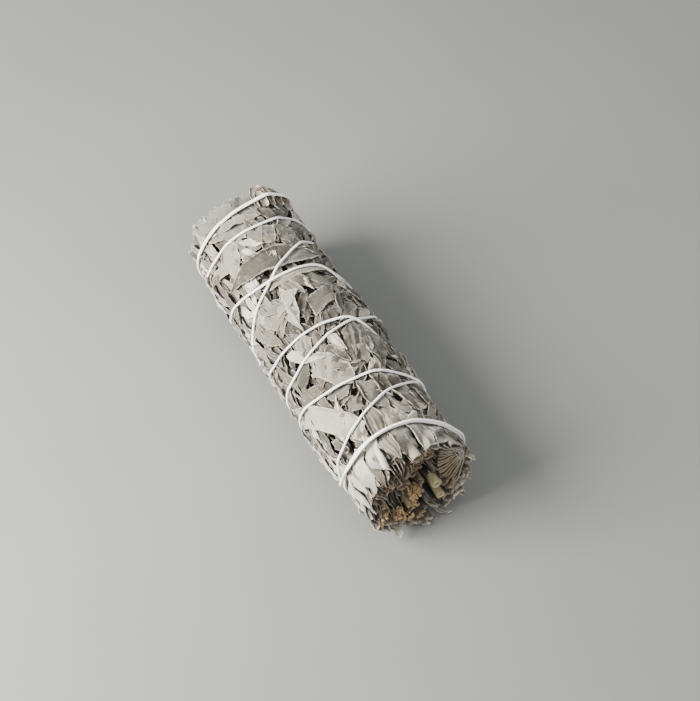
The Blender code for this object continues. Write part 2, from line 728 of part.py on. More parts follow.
def bunch_solid():
    """Core and leaves joined in one body, holes cut for stems and heads, flat where it rests."""
    bunch = core_solid()
    outward(bunch)
    leaves = new_collection("leaves")
    side_leaves(leaves)
    end_leaves(leaves)
    combine(bunch, leaves, "UNION")
    simplify(bunch)

    cutters = new_collection("cutters")
    for i, (y, z, radius, x_end, depth) in enumerate(STEMS):
        prism("hole_%d" % i, y, z, radius + STEM_GAP, CORE_NEAR - depth, HOLE_END, HOLE_SIDES, cutters)
    for i, (y, z, radius, x) in enumerate(BUDS):
        prism("socket_%d" % i, y, z, STALK_RADIUS + STEM_GAP, x - STALK_LENGTH - STEM_GAP, x - 2.0,
              STEM_SIDES, cutters)
        prism("cup_%d" % i, y, z, radius + HEAD_GAP, x - 2.6, HOLE_END, HOLE_SIDES, cutters)
    corners = [Vector((sx * 0.2, sy * 0.2, sz)) for sz in (-0.1, 0.0) for sy in (-1, 1) for sx in (-1, 1)]
    box = [(0, 2, 3, 1), (4, 5, 7, 6), (0, 1, 5, 4), (2, 6, 7, 3), (0, 4, 6, 2), (1, 3, 7, 5)]
    solid("floor_cut", corners, box, cutters)
    combine(bunch, cutters, "DIFFERENCE")
    return bunch


def centre_all():
    """Every object moved so that the whole stands over the origin."""
    spots = [v.co for obj in bpy.data.objects for v in obj.data.vertices]
    xs, ys = [p.x for p in spots], [p.y for p in spots]
    shift = Vector((-0.5 * (min(xs) + max(xs)), -0.5 * (min(ys) + max(ys)), 0.0))
    for obj in bpy.data.objects:
        obj.data.transform(Matrix.Translation(shift))


def build():
    for obj in list(bpy.data.objects):
        bpy.data.objects.remove(obj)
    bunch = bunch_solid()
    paint(bunch, "dried_leaf", (0.56, 0.55, 0.48), 0.85)
    for i, (y, z, radius, x_end, depth) in enumerate(STEMS):
        start = CORE_NEAR - depth + 0.4
        stem = prism("stem_%d" % (i + 1), y, z, radius, start, x_end, STEM_SIDES, oval=0.06)
        paint(stem, "stem_%d_wood" % (i + 1), (0.45, 0.36, 0.24), 0.8)
    for i, item in enumerate(BUDS):
        paint(bud(i + 1, *item), "bud_%d_dry" % (i + 1), (0.42, 0.27, 0.1), 0.9)
    tree = BVHTree.FromPolygons([v.co for v in bunch.data.vertices],
                                [list(p.vertices) for p in bunch.data.polygons])
    paint(thread_solid(thread_line(tree)), "cotton", (0.86, 0.85, 0.82), 0.75)
    centre_all()


build()
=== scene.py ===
"""Looks of a bound bundle of dried sage leaves, lying on a pale floor.

Lengths in the rules are in millimetres and angles in degrees. An angle is taken round the bundle's
axis: 0 is +Y, 90 is straight up and 180 is -Y, the camera's left.
"""
from math import cos, hypot, pi, radians, sin, sqrt

import bpy
import numpy as np
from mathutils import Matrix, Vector
from mathutils.bvhtree import BVHTree


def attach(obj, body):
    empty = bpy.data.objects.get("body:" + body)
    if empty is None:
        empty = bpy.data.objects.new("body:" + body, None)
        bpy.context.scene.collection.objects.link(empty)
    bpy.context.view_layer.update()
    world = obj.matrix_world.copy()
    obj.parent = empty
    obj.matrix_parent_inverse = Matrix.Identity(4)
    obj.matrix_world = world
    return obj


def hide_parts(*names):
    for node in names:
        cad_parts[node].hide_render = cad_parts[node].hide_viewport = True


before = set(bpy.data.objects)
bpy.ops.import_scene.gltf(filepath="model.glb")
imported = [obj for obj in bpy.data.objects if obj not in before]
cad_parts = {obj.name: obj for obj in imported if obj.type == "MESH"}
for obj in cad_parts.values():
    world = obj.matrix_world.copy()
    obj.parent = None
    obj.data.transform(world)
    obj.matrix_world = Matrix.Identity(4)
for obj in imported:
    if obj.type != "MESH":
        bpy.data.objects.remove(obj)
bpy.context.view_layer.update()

MM = 0.001

# The bundle: where its axis lies, its radii and the ends of its packed inside
SHIFT = (2.7, 0.256)
AXIS_HEIGHT = 19.6
OUTER_RADIUS = 19.6
FAR_RADIUS = 18.9
BOTTOM_RADIUS = 17.45
CORE_RADIUS = 15.8
CORE_FAR = -56.5
CORE_NEAR = 50.5
FLOOR_GAP = 0.02

# Millimetres along the side for each degree round it
ARC = 0.325

# The thread, and how it presses the leaves down
THREAD_RADIUS = 0.4
THREAD_STEP = 3
TWIST_LENGTH = 2.6
KNOT_X = 44.4
KNOT_ANGLE = 217
KNOT_HALF = 0.8
PINCH_DEPTH = 0.9
PINCH_WIDTH = 1.7
BAND_DEPTH = 0.8

# Rays that find the leaves under the thread: radius where they start, and their length
RAY_START = 26
RAY_LENGTH = 12

# Radius of the ground under the thread where no ray finds a leaf
LEAST_GROUND = 15.0

# Thickness of the leaves, of the fan, of the rolled leaves and of the loose ones
BLADE = 0.26
FAN_BLADE = 0.34
ROLL_BLADE = 0.3
LOOSE_BLADE = 0.24

# Painted light: how much lighter the leaves are painted in the near half than in the far half
NEAR_PAINTED_LIGHT = 0.055

# Steps that spread places evenly: along, round, and round a disc
SPREAD_X = 0.7548776662
SPREAD_ANGLE = 0.569840291
GOLDEN_ANGLE = 137.508

# The leaves round this angle lie along the bundle and are narrower
LEFT_MIDDLE = 185
LEFT_HALF = 32

# Leaves that stand at the ends: x of their roots, and the radius that they stay within
NEAR_ROOT = 44
FAR_ROOT = -50
END_RADIUS = 19.1

# Leaf tips of the side by angle: least x at the far end, and greatest x at the near end
FAR_TIPS = ((0, 42, 64, 83, 90, 112, 140, 152, 180, 270, 360),
            (-57, -56.6, -59.8, -58.6, -60.4, -61.6, -61.6, -61.4, -60.2, -61, -57))
NEAR_TIPS = ((0, 40, 62, 95, 124, 142, 160, 360), (58.8, 58.4, 55.8, 54, 53.6, 57.6, 58.8, 58.8))

# Outline of each kind of leaf: places along it, and its half width there
OUTLINES = {
    "flat": ((0, 0.12, 0.42, 0.74, 1), (0.04, 0.74, 1, 0.72, 0.02)),
    "fold": ((0, 0.14, 0.4, 0.72, 1), (0.2, 0.8, 1, 0.8, 0.02)),
    "curl": ((0, 0.12, 0.4, 0.7, 1), (0.3, 0.85, 1, 0.8, 0.06)),
    "strip": ((0, 0.06, 0.3, 0.7, 1), (0.5, 0.9, 1, 0.95, 0.1)),
    "square": ((0, 0.02, 0.3, 0.7, 0.985, 1), (0.7, 0.9, 0.95, 1, 0.97, 0.9)),
    "tri": ((0, 0.03, 0.3, 0.65, 1), (0.8, 1, 0.86, 0.5, 0.02)),
    "torn": ((0, 0.03, 0.3, 0.75, 1), (0.92, 1, 1, 0.9, 0.3)),
}

# Chance that an edge of a leaf of each kind is rolled up
CURLED = {"curl": 0.95, "fold": 0.4, "flat": 0.22, "square": 0.05, "strip": 0.35, "tri": 0.2, "torn": 0}

# Values that a leaf's material reads, in the order in which they are given
LEAF_VALUES = ("shade", "warm", "rim", "along", "across", "deep")

# Cut end of a stem: x past its end, and share of its radius
STEM_END = ((-0.12, 0.98), (0, 0.92), (0.02, 0.8), (-0.05, 0.6), (-0.12, 0.42), (-0.9, 0.38), (-1.4, 0.05))

# A dry cup: share of its length and of its width, from the foot to the mouth and back inside
CUP_ROWS = ((0, 0.3), (0.3, 0.62), (0.65, 0.8), (0.92, 1), (1, 0.86), (0.7, 0.5), (0.45, 0.2))

# Crumbs of flower heads: x, y and z from the axis, radius
CRUMBS = [
    (58.2, -12.4, -6.6, 1.5),
    (58.4, -3, -12.6, 1.7),
    (58, -13.6, -9.4, 1.2),
    (57.6, -6.4, -7.4, 1.1),
    (57.4, -1.2, -8, 1.2),
    (58.3, 0.6, -14.4, 1),
]

# Camera, from the photo's picture of the bundle
VIEW_AZIMUTH = 61
VIEW_ELEVATION = 53
VIEW_DISTANCE = 1
LENS = 160.7
CENTRE_X, CENTRE_Y = 329, 360
FRAME_W, FRAME_H = 700, 701

# Light and floor, from the photo's shadow and floor
KEY = 11.2
FILL = 7
AMBIENT = 0.92
FLOOR_DARK = "727370"
FLOOR_LIGHT = "777875"
FLOOR_HALF = 4

# Colour that the painted shade in the gaps between leaves darkens to, and the radius that depths are given
# against
GAP_PAINTED_SHADE = "3A2A20"
DEPTH_RADIUS = 20

# The thread, ring by ring, as it is wound: angle and x along the side that faces up
RINGS = [
    [(200, 43.2), (174, 43.6), (110, 43.8), (83, 44.4), (53, 46.2), (21, 49.4)],
    [(200, 43.8), (174, 44.2), (110, 44.5), (83, 45.1), (53, 46.9), (21, 50.1)],
    [(186, 40.6), (152, 38.8), (128, 37), (105, 34.6), (78, 31), (47, 29), (21, 27)],
    [(186, 8.2), (153, 7.4), (122, 5.2), (98, 3.6), (76, 1.6), (61, 0.6), (34, -1.2)],
    [(178, -17), (142, -20.4), (117, -24), (100, -27.6), (73, -33), (45, -36.4)],
    [(184, -55.4), (146, -54.4), (103, -56.2), (59, -57), (30, -56.6)],
    [(184, -54.7), (146, -53.7), (103, -55.5), (59, -56.3), (30, -55.8)],
    [(169, -48), (140, -47.2), (99, -46.2), (78, -46.4), (40, -47.6)],
    [(199, -33.4), (158, -29), (117, -24.8), (89, -24), (60, -24), (36, -19)],
    [(190, -5.4), (159, -2.4), (128, -2.2), (98, -1.8), (62, 0.4), (44, 5), (34, 9)],
    [(193, 15), (155, 18.2), (127, 20.6), (94, 22.4), (64, 24), (41, 26), (21, 29)],
    [(190, 41.4), (172, 44.6), (140, 45.2), (110, 44.6), (83, 45.2), (53, 47), (21, 50.2)],
]

# Stems: y, z from the axis, radius, end x
STEMS = [
    (6.9, -2.5, 1.7, 57.2),
    (4.2, 13.6, 1.5, 55.4),
    (8.8, -10.2, 1.5, 56.8),
    (-1.6, -9.2, 1.5, 56.2),
    (-8.4, 4, 1.4, 55.2),
    (0.4, 11.4, 1.3, 54.4),
]

# Dried flower heads: y, z from the axis, radius, x
BUDS = [(0.2, -4.4, 2.1, 55.8), (-6.3, -11.6, 1.9, 56.2)]

# Leaves read one by one: base x, base angle, tip x, tip angle, width, fold, kind, shade, warmth
PLACED = [
    (-58.4, 80, -47, 68, 8, 1.2, "fold", 0.35, 0.8),
    (-61.6, 150, -46, 146, 5, 1, "fold", 0.85, 0.5),
    (-61, 96, -49.5, 98, 8.4, -0.5, "torn", 0.66, 0.1),
    (-62, 127, -46.5, 117, 16, -0.4, "torn", 0.74, 0.05),
    (-53, 124, -49.5, 84, 5, 0.5, "tri", 0.78, 0.1),
    (-61.2, 66, -56.6, 41, 3.6, 1.3, "curl", 0.8, 1),
    (-57.4, 62, -50, 54, 3.2, 1.3, "curl", 0.5, 1),
    (-51, 100, -38, 92, 6.5, 1.1, "fold", 0.7, 0.6),
    (-47, 128, -33, 140, 7, 0.9, "curl", 0.8, 0.5),
    (-42, 80, -33, 64, 6, 1, "flat", 0.45, 0.3),
    (-44.5, 84, -33, 101, 4.4, 0.8, "strip", 0.6, 0.3),
    (-41.4, 65, -33, 80, 5.4, 0.5, "flat", 0.45, 0),
    (-43.4, 117, -38.4, 99, 2.4, 1.6, "curl", 1, 0.5),
    (-40.4, 119, -36, 108, 2.2, 1.6, "curl", 0.95, 0.6),
    (-28.4, 54, -33, 151, 8.6, -0.3, "flat", 0.36, 0.3),
    (-21.6, 136, -9.4, 127, 6.6, -0.6, "square", 0.75, 0.35),
    (-17, 101, -11.4, 124, 4.6, 0.6, "strip", 0.8, 0.2),
    (-19, 152, -4, 138, 5, 0.7, "fold", 0.7, 0.5),
    (-19, 112, -4, 114, 6, 0.9, "fold", 0.85, 0.15),
    (-11.4, 66, -7.6, 96, 7, -0.3, "square", 0.5, 0.3),
    (-9, 56, -1, 76, 7.5, -0.3, "flat", 0.32, 0.35),
    (-14, 44, -6, 30, 6, 0.9, "fold", 0.35, 0.4),
    (-22.4, 54, -22, 118, 4, 0.4, "fold", 0.76, 0.7),
    (1, 88, 13, 103, 4.6, 1.4, "curl", 0.6, 0.6),
    (1, 70, 16, 88, 7, 1.2, "fold", 0.45, 0.5),
    (-3, 118, 9, 128, 6.5, 0.9, "fold", 0.78, 0.35),
    (9, 124, 22, 100, 8.6, -0.5, "torn", 0.76, 0.3),
    (5, 60, 20, 66, 8.5, -0.6, "flat", 0.38, 0.3),
    (3, 95.5, 11.6, 91.5, 3.2, 1.4, "curl", 0.9, 0.3),
    # Painted shade: a near-black leaf stands for a dark hole between the leaves
    (9.2, 100, 15.8, 92.6, 2.2, -0.2, "flat", 0.05, 0.2),
    (8, 42, 22, 38, 6, 1, "fold", 0.35, 0.6),
    (24, 96, 38, 90, 6.5, 1.1, "curl", 0.55, 0.1),
    (24, 70, 40, 58, 7, 0.6, "flat", 0.35, 0.4),
    (27, 44, 42, 34, 6.5, 1, "fold", 0.35, 0.5),
    (15, 179, 40, 120, 8.2, -0.35, "square", 0.82, 0.3),
    (33, 108, 50, 112, 6, 1.1, "fold", 0.6, 0.5),
    (43, 143, 56.4, 152, 5.6, 0.7, "strip", 0.9, 0.3),
    (48, 131, 57.6, 140, 3.6, 1.1, "strip", 0.62, 0.4),
    (43, 121, 53.8, 129, 4.8, -0.5, "square", 0.95, 0.2),
    (43, 108, 55, 106, 5.5, 1, "fold", 0.7, 0.4),
    (42, 98, 54, 92, 6.5, 0.9, "square", 0.7, 0.4),
    (43, 78, 55.6, 76, 6, 0.8, "square", 0.75, 0.3),
    (43, 60, 56.4, 56, 7, -0.6, "square", 0.5, 0.5),
    (42, 36, 58.2, 32, 8.5, 1, "fold", 0.4, 0.6),
    (41, 172, 58.6, 178, 7, 1.1, "fold", 0.85, 0.3),
]

# Leaf bulges that the bundle lies on: x, angle, length, width
RESTS = [(-24.5, -97, 17, 10), (1.5, -86, 16, 10), (26, -91, 15, 10)]

# Fan of stacked leaf edges at the near end
FAN_COUNT = 17

# Rolled leaves: end x, y, z from the axis, radius, start angle, sweep, tightening, flattening, its turn
ROLLS = [
    (57.8, -0.8, 17.1, 2.1, 200, 560, 0.9, 1, 0),
    (56.9, -11.6, -5.2, 2.7, 30, 400, 1, 0.8, 110),
    (57.3, 11.4, -12.6, 2.1, 100, 400, 0.7, 1, 0),
    (56.3, -4.6, 2.9, 2.6, 160, 350, 0.2, 0.5, 165),
    (57.1, 13.4, 12.6, 4, 120, 365, 0.5, 0.36, 120),
    (56.1, 9.6, -1.4, 1, 90, 380, 0.3, 1, 0),
    (55.5, -7.8, -9.6, 1.5, 250, 480, 0.8, 0.8, 60),
    (56.1, -14.6, 4.6, 2, 20, 400, 0.8, 0.6, 100),
    (55.7, 3.2, -15.4, 1.8, 250, 420, 0.8, 0.7, 30),
    (-63, 4, 9, 3, 90, 520, 1.8, 1, 0),
    (-62, -7.5, -3, 2.6, 250, 500, 1.5, 0.8, 40),
]

# Leaf edges read one by one at the near end: y, z from the axis, turn, width, bend, end x
STANDING = [
    (-5.8, 11.4, 103, 8, 0.3, 57.3),
    (-4.2, 10.6, 76, 6.4, -0.5, 57.6),
    (-7.9, 11.2, 110, 9, -0.3, 57.6),
    (-9.6, 9.8, 105, 8, 0.9, 57.4),
    (-7.9, 7.5, 96, 6.6, -1, 56.5),
    (0, 10.8, 141, 5.6, 0.9, 56.5),
    (-0.5, 5.2, 177, 4.4, 0.7, 55.3),
    (6.4, 6.4, 115, 9.5, 0.2, 56.3),
    (5.6, 5.9, 114, 8, -0.2, 55.6),
    (18.4, 3.8, 104, 5.9, 1.2, 57.1),
    (17.2, -4.8, 121, 7, -1.6, 56.9),
    (14.6, -9.8, 127, 6, -1.4, 56.5),
    (9.2, -6.8, 120, 4.6, -1.1, 55.6),
    (5.8, -13.4, 127, 9.5, 0.6, 56.9),
    (0.4, -11.9, 109, 7, -0.2, 56),
    (-15.2, 1.2, 105, 9.5, 0.2, 56.7),
    (-13.2, 1.6, 118, 9, -0.8, 57.3),
    (-8.4, -7, 106, 8, -0.6, 56.3),
    (-6.1, -4.4, 108, 6.5, -0.5, 56.1),
    (-6.4, -14, 144, 7.6, 1.3, 57.2),
    (-3.8, -15.8, 27, 4.6, -0.6, 57.5),
    (3.2, 13.6, 160, 5.6, 0.7, 56.9),
    (-12.2, 7.6, 118, 6, 0.6, 56.5),
    (-10.6, 3.4, 98, 5.4, -0.7, 55.7),
]

# Loose curled leaves that stick out under the near end: line of x, y, z from the axis, width, roll
LOOSE = [
    ([(52, 2.5, -17.4), (56, 2.8, -18.6), (58.4, 2, -18.9), (59.8, 3.4, -18.2)], 3.4, 0.9),
    ([(53, 7.5, -18.2), (56.4, 8.2, -19), (58.2, 10, -19.1), (58.6, 12, -18.7)], 1.5, 1.3),
    ([(54, 4.5, -18), (57.4, 5.4, -19), (58.6, 6.6, -19.1)], 1.4, 1.2),
    ([(53, -6.4, -15), (57, -7.2, -16), (59.6, -7.9, -16.4), (61, -8.2, -16.4)], 4, 0.8),
    ([(53, -14.6, -8.6), (57, -15, -9.4), (59, -15.4, -10.2)], 3.4, 1.2),
    ([(53, -13, -11.6), (57.4, -13, -12.4), (59, -12.6, -13)], 3, -1.2),
    ([(53, 17.4, 5), (57, 18.2, 4.8), (58.8, 19.6, 4.2)], 3, 1.6),
    ([(53, 17.8, -3), (57, 18.4, -4), (58.4, 18.8, -6.6)], 5, -1.2),
    ([(53, 14.6, -10.6), (57.4, 15.6, -12), (58.8, 16.2, -12.8)], 3.2, 1),
]

# Torn curled bits at the upper right of the far end, given in the same way
FAR_LOOSE = [
    ([(-53, 9, 16.4), (-57.6, 9.4, 16.8), (-59.8, 9, 17.4), (-61.4, 8.2, 18.2)], 2.6, 1.5),
    ([(-53, 6.2, 17.6), (-57.6, 6.6, 17.8), (-60.2, 5.6, 18)], 3.4, 1.2),
    ([(-53, 3.4, 18.2), (-58, 3.6, 18.2), (-60.8, 4.6, 18.6), (-60.6, 6.4, 18.6)], 2, 1.6),
    ([(-53, 11.8, 14.6), (-57, 12.2, 14.8), (-59.6, 11.2, 16)], 3, 1.6),
    ([(-52, 14.2, 12), (-56.4, 14.6, 12.2), (-58.4, 13.6, 13.6)], 3.2, 1.4),
    ([(-60.8, 7.4, 17.8), (-59, 10.8, 16), (-57.2, 13.6, 14), (-55.2, 15, 12)], 2.4, 1.3),
]


def smoothed(line, width):
    """Values averaged under a bell of an odd width, with the ends held."""
    bell = np.hanning(width)
    bell /= bell.sum()
    return np.convolve(np.pad(line, width // 2, mode="edge"), bell, mode="valid")


def wrapped(angle):
    """Angle brought between -180 and 180."""
    return (angle + 180) % 360 - 180


def from_bottom(angle):
    """Angle away from straight down."""
    return np.abs((angle + 270) % 360 - 180)


def facing(angle, middle):
    """1 where an angle is the middle one, falling to 0 at 90 degrees from it."""
    return np.clip(np.cos(np.radians(angle - middle)), 0, 1)


def zigzag(x):
    """Wave with straight sides between -1 and 1."""
    return 2 / pi * np.arcsin(np.sin(x))


def ripple(rng, u, w, count, low, high):
    """Smooth uneven surface of about unit height from a few crossing waves."""
    total = np.zeros(np.broadcast(u, w).shape)
    for _ in range(count):
        k = rng.uniform(low, high)
        a = rng.uniform(0, pi)
        total = total + np.sin(k * (u * cos(a) + w * sin(a)) + rng.uniform(0, 6.3))
    return total / sqrt(count)


def spot(x, y, z):
    """Points in metres, from x and from y and z off the bundle's axis."""
    x, y, z = np.broadcast_arrays(x, y, z)
    return np.stack([(x + SHIFT[0]) * MM, (y + SHIFT[1]) * MM, (AXIS_HEIGHT + z) * MM], axis=-1)


def place(x, angle, radius):
    """Points in metres, from x, angle and radius."""
    a = np.radians(angle)
    return spot(x, radius * np.cos(a), radius * np.sin(a))


def thread_plan():
    """Angle and x of the thread at even steps, the angle falling by 360 with every ring."""
    angles, places = [-KNOT_ANGLE], [KNOT_X - KNOT_HALF]
    for turn, ring in enumerate(RINGS):
        for angle, x in ring:
            angles.append(360 * turn - angle)
            places.append(x)
    angles += [angles[-1] + 80, 360 * len(RINGS) - KNOT_ANGLE]
    places += [places[-1] - 2, KNOT_X + KNOT_HALF]
    steps = np.arange(angles[0], angles[-1], THREAD_STEP)
    return -steps, smoothed(np.interp(steps, angles, places), 15)


THREAD_ANGLE, THREAD_X = thread_plan()


def thread_distance(x, angle):
    """Distance on the unrolled side from each place to the nearest part of the thread."""
    x, angle = x.ravel(), angle.ravel()
    out = np.empty(len(x))
    for low in range(0, len(x), 2000):
        part = slice(low, low + 2000)
        turn = wrapped(angle[part, None] - THREAD_ANGLE[None])
        out[part] = np.sqrt((turn * ARC) ** 2 + (x[part, None] - THREAD_X[None]) ** 2).min(axis=1)
    return out


def end_flare(angle):
    """How far the leaf tips at the near end spread (+) or bend in (-)."""
    return 0.8 * facing(angle, 15) - 2.4 * facing(angle, 140)


def far_limit(angle):
    """Least x of a leaf tip on the side at the far end."""
    return np.interp(np.asarray(angle) % 360, *FAR_TIPS)


def near_limit(angle):
    """Greatest x of a leaf tip on the side at the near end."""
    return np.interp(np.asarray(angle) % 360, *NEAR_TIPS)


def top_radius(x, angle, near):
    """Greatest radius that the leaves reach, given how near the thread is."""
    far = np.clip((-44 - x) / 18, 0, 1)
    top = OUTER_RADIUS + (FAR_RADIUS - OUTER_RADIUS) * far
    top = top + np.clip((x - 50) / 8, 0, 1.2) ** 1.4 * end_flare(angle)
    top = top + 0.35 * np.sin(np.radians(2 * angle + 4 * x))
    top = top + 0.25 * np.sin(np.radians(3 * angle - 7 * x))
    down = from_bottom(angle)
    free = np.clip((near - 2) / 2, 0, 1)
    low = BOTTOM_RADIUS + 2 * free + np.maximum(0, down - 28) * 0.05
    top = np.where(down < 50, np.minimum(top, low), top)
    band = np.exp(-(((x - 46) / 4) ** 2)) + 0.7 * np.exp(-(((x + 55) / 3) ** 2))
    return top - BAND_DEPTH * band


def linked(name, data):
    """New object in the scene."""
    obj = bpy.data.objects.new(name, data)
    bpy.context.scene.collection.objects.link(obj)
    return obj


def mesh_object(name, verts, faces, material, smooth=True):
    mesh = bpy.data.meshes.new(name)
    mesh.from_pydata(verts, [], faces)
    mesh.update()
    mesh.polygons.foreach_set("use_smooth", [smooth] * len(mesh.polygons))
    mesh.materials.append(material)
    return linked(name, mesh)


def ring_faces(rows, sides, base=0, inward=False):
    """Faces between rings of points, and last the two flat ends."""
    i, k = np.meshgrid(np.arange(rows - 1), np.arange(sides), indexing="ij")
    a = (base + i * sides + k).ravel()
    b = (base + i * sides + (k + 1) % sides).ravel()
    last = base + (rows - 1) * sides
    ends = [list(range(base + sides - 1, base - 1, -1)), list(range(last, last + sides))]
    if inward:
        return np.stack([a, a + sides, b + sides, b], axis=1).tolist() + [end[::-1] for end in ends]
    return np.stack([a, b, b + sides, a + sides], axis=1).tolist() + ends


class Side:
    """Height of the leaf layer over the unrolled side of the bundle."""
    STEP_X = 0.8
    STEP_A = 3
    LONG = 140

    def __init__(self, start):
        self.rows = int(self.LONG / self.STEP_X)
        self.cols = int(360 / self.STEP_A)
        self.height = np.full((self.rows, self.cols), start)

    def index(self, x, angle):
        i = np.clip(np.round((x + 0.5 * self.LONG) / self.STEP_X).astype(int), 0, self.rows - 1)
        j = np.round(angle / self.STEP_A).astype(int) % self.cols
        return i, j

    def over(self, x, angle, reach):
        """Greatest height at a place and at its eight neighbours."""
        best = np.zeros_like(x)
        for dx in (-reach, 0, reach):
            for da in (-3 * reach, 0, 3 * reach):
                best = np.maximum(best, self.height[self.index(x + dx, angle + da)])
        return best

    def raise_to(self, x, angle, radius):
        np.maximum.at(self.height, self.index(x.ravel(), angle.ravel()), radius.ravel())


class Pile:
    """Sheets gathered into one mesh with the values that their material reads."""
    EDGE_SHARE = 0.45

    def __init__(self):
        self.verts, self.faces = [], []
        self.values = {name: [] for name in LEAF_VALUES}
        self.count = 0

    def add_shell(self, grid, thickness, *values):
        """Closed sheet from a grid of points, thickened on its inner side."""
        n, m = grid.shape[:2]
        normal = np.cross(np.gradient(grid, axis=0), np.gradient(grid, axis=1))
        size = np.linalg.norm(normal, axis=-1, keepdims=True)
        normal = normal / np.maximum(size, 1e-12)
        edge = np.ones((n, m))
        edge[0, :] = edge[-1, :] = self.EDGE_SHARE
        edge[:, 0] = edge[:, -1] = self.EDGE_SHARE
        other = grid + normal * (thickness * edge)[..., None] * MM
        self.verts += [grid.reshape(-1, 3), other.reshape(-1, 3)]
        half = n * m
        index = np.arange(half).reshape(n, m) + self.count
        quads = np.stack([index[:-1, :-1], index[:-1, 1:], index[1:, 1:], index[1:, :-1]], axis=-1)
        quads = quads.reshape(-1, 4)
        ring = np.concatenate([index[:, 0], index[-1, 1:], index[-2::-1, -1], index[0, -2:0:-1]])
        after = np.roll(ring, -1)
        border = np.stack([ring, after, after + half, ring + half], axis=1)
        self.faces += [quads[:, ::-1], quads + half, border[:, ::-1]]
        for name, value in zip(LEAF_VALUES, values):
            flat = np.broadcast_to(value, (n, m)).ravel()
            self.values[name] += [flat, flat]
        self.count += 2 * half

    def build(self, name, material):
        verts = np.concatenate(self.verts)
        verts[:, 2] = np.maximum(verts[:, 2], FLOOR_GAP * MM)
        obj = mesh_object(name, verts.tolist(), np.concatenate(self.faces).tolist(), material)
        for key, parts in self.values.items():
            attribute = obj.data.attributes.new(key, "FLOAT", "POINT")
            attribute.data.foreach_set("value", np.concatenate(parts).astype(np.float32))
        return obj


def outline(rng, kind, t):
    """Half width along one edge of a leaf: straight runs between corners that are moved a little."""
    ts, ws = (np.array(values) for values in OUTLINES[kind])
    ts[1:-1] += rng.uniform(-0.04, 0.04, len(ts) - 2)
    return np.interp(t, ts, ws * rng.uniform(0.8, 1.15, len(ws)))


def leaf_plan(rng, kind, t, v, length, width):
    """Place along a leaf and half width there, with scallops, and a torn base where it has one."""
    u = t * length + rng.uniform(-0.35, 0.35) * width * v * np.abs(2 * t - 1)
    if kind == "torn":
        teeth = 0.6 * zigzag(7 * v + 1) + 0.6 * zigzag(19 * v) + 0.5 * zigzag(3.1 * v)
        u = u + teeth * (1 - t) ** 4
    left, right = outline(rng, kind, t), outline(rng, kind, t)
    scallop = rng.uniform(1.5, 2.3)
    notch = 0.13 * np.abs(np.sin(scallop * u + rng.uniform(0, 3.1)))
    notch = notch + 0.07 * ripple(rng, u, 0, 4, 0.6, 2.4)
    half = 0.5 * width * np.where(v < 0, left, right)
    return u, half + notch * (np.abs(v) > 0.5) * np.minimum(1, half)


def leaf_relief(rng, kind, fold, v, u, w, body, length):
    """Height of a leaf over its own sheet: fold, pleats, creases, middle rib and uneven edges."""
    ridge = rng.uniform(-0.45, 0.45)
    slope = np.where(v > ridge, (v - ridge) / (1 - ridge), (ridge - v) / (1 + ridge))
    h = 0.34 * fold * (0.75 - 1.5 * slope) * body
    if kind == "fold":
        count = rng.choice([1, 1.5, 2])
        pleats = zigzag(2 * pi * v * count + rng.uniform(0, 6.3) + 0.08 * u)
        h = h + 0.32 * abs(fold) * pleats * body
    for _ in range(4):
        turn = rng.uniform(-1.2, 1.2)
        line = (u - rng.uniform(0.15, 0.85) * length) * cos(turn) + w * sin(turn)
        h = h + rng.uniform(-0.34, 0.34) * (np.minimum(np.abs(line), 2) - 1)
    rib = np.exp(-((w / 0.2) ** 2)) * body
    h = h + (0.12 if fold > 0 else -0.1) * rib
    h = h + 0.04 * ripple(rng, u, w, 5, 0.5, 1.3) + 0.05 * zigzag(ripple(rng, u, w, 5, 1.4, 3))
    uneven = rng.uniform(0.05, 0.3) * v * v
    return h + 0.28 * v * v + uneven * zigzag(u * rng.uniform(0.8, 1.8) + rng.uniform(0, 6.3) + v)


def curled_edges(rng, kind, v, u, w, h, half, body):
    """Place across a leaf and its height, with its edges rolled up by chance."""
    for sign in (-1, 1):
        if rng.random() < CURLED[kind]:
            start = rng.uniform(0.5, 0.82)
            turn = rng.uniform(1.2, 3.1) * (0.65 + 0.35 * np.sin(u * 0.35 + rng.uniform(0, 6.3)))
            past = np.clip((sign * v - start) / (1 - start), 0, 1)
            phi = past * turn * body
            radius = np.maximum((1 - start) * half / np.maximum(turn, 0.3), 0.12)
            w = np.where(past > 0, sign * (start * half + radius * np.sin(phi)), w)
            h = h + np.where(past > 0, radius * (1 - np.cos(phi)), 0)
    return w, h


def ground_under(side, x, angle):
    """Height of what lies under a leaf, from a few places of it."""
    rows, cols = x.shape
    nodes_t, nodes_v = np.linspace(0, 1, 7), np.linspace(-1, 1, 5)
    # Numbers below 0 count back from the last column, so heights are mixed across the leaf
    picked = np.ix_(np.round(nodes_t * (rows - 1)).astype(int), np.round(nodes_v * (cols - 1)).astype(int))
    ground = side.over(x[picked], angle[picked], 0.9)
    wide = np.pad(ground, 1, mode="edge")
    ground = 0.5 * ground + 0.125 * (wide[:-2, 1:-1] + wide[2:, 1:-1] + wide[1:-1, :-2] + wide[1:-1, 2:])
    part = np.stack([np.interp(np.linspace(0, 1, rows), nodes_t, line) for line in ground.T], axis=1)
    return np.stack([np.interp(np.linspace(-1, 1, cols), nodes_v, line) for line in part])


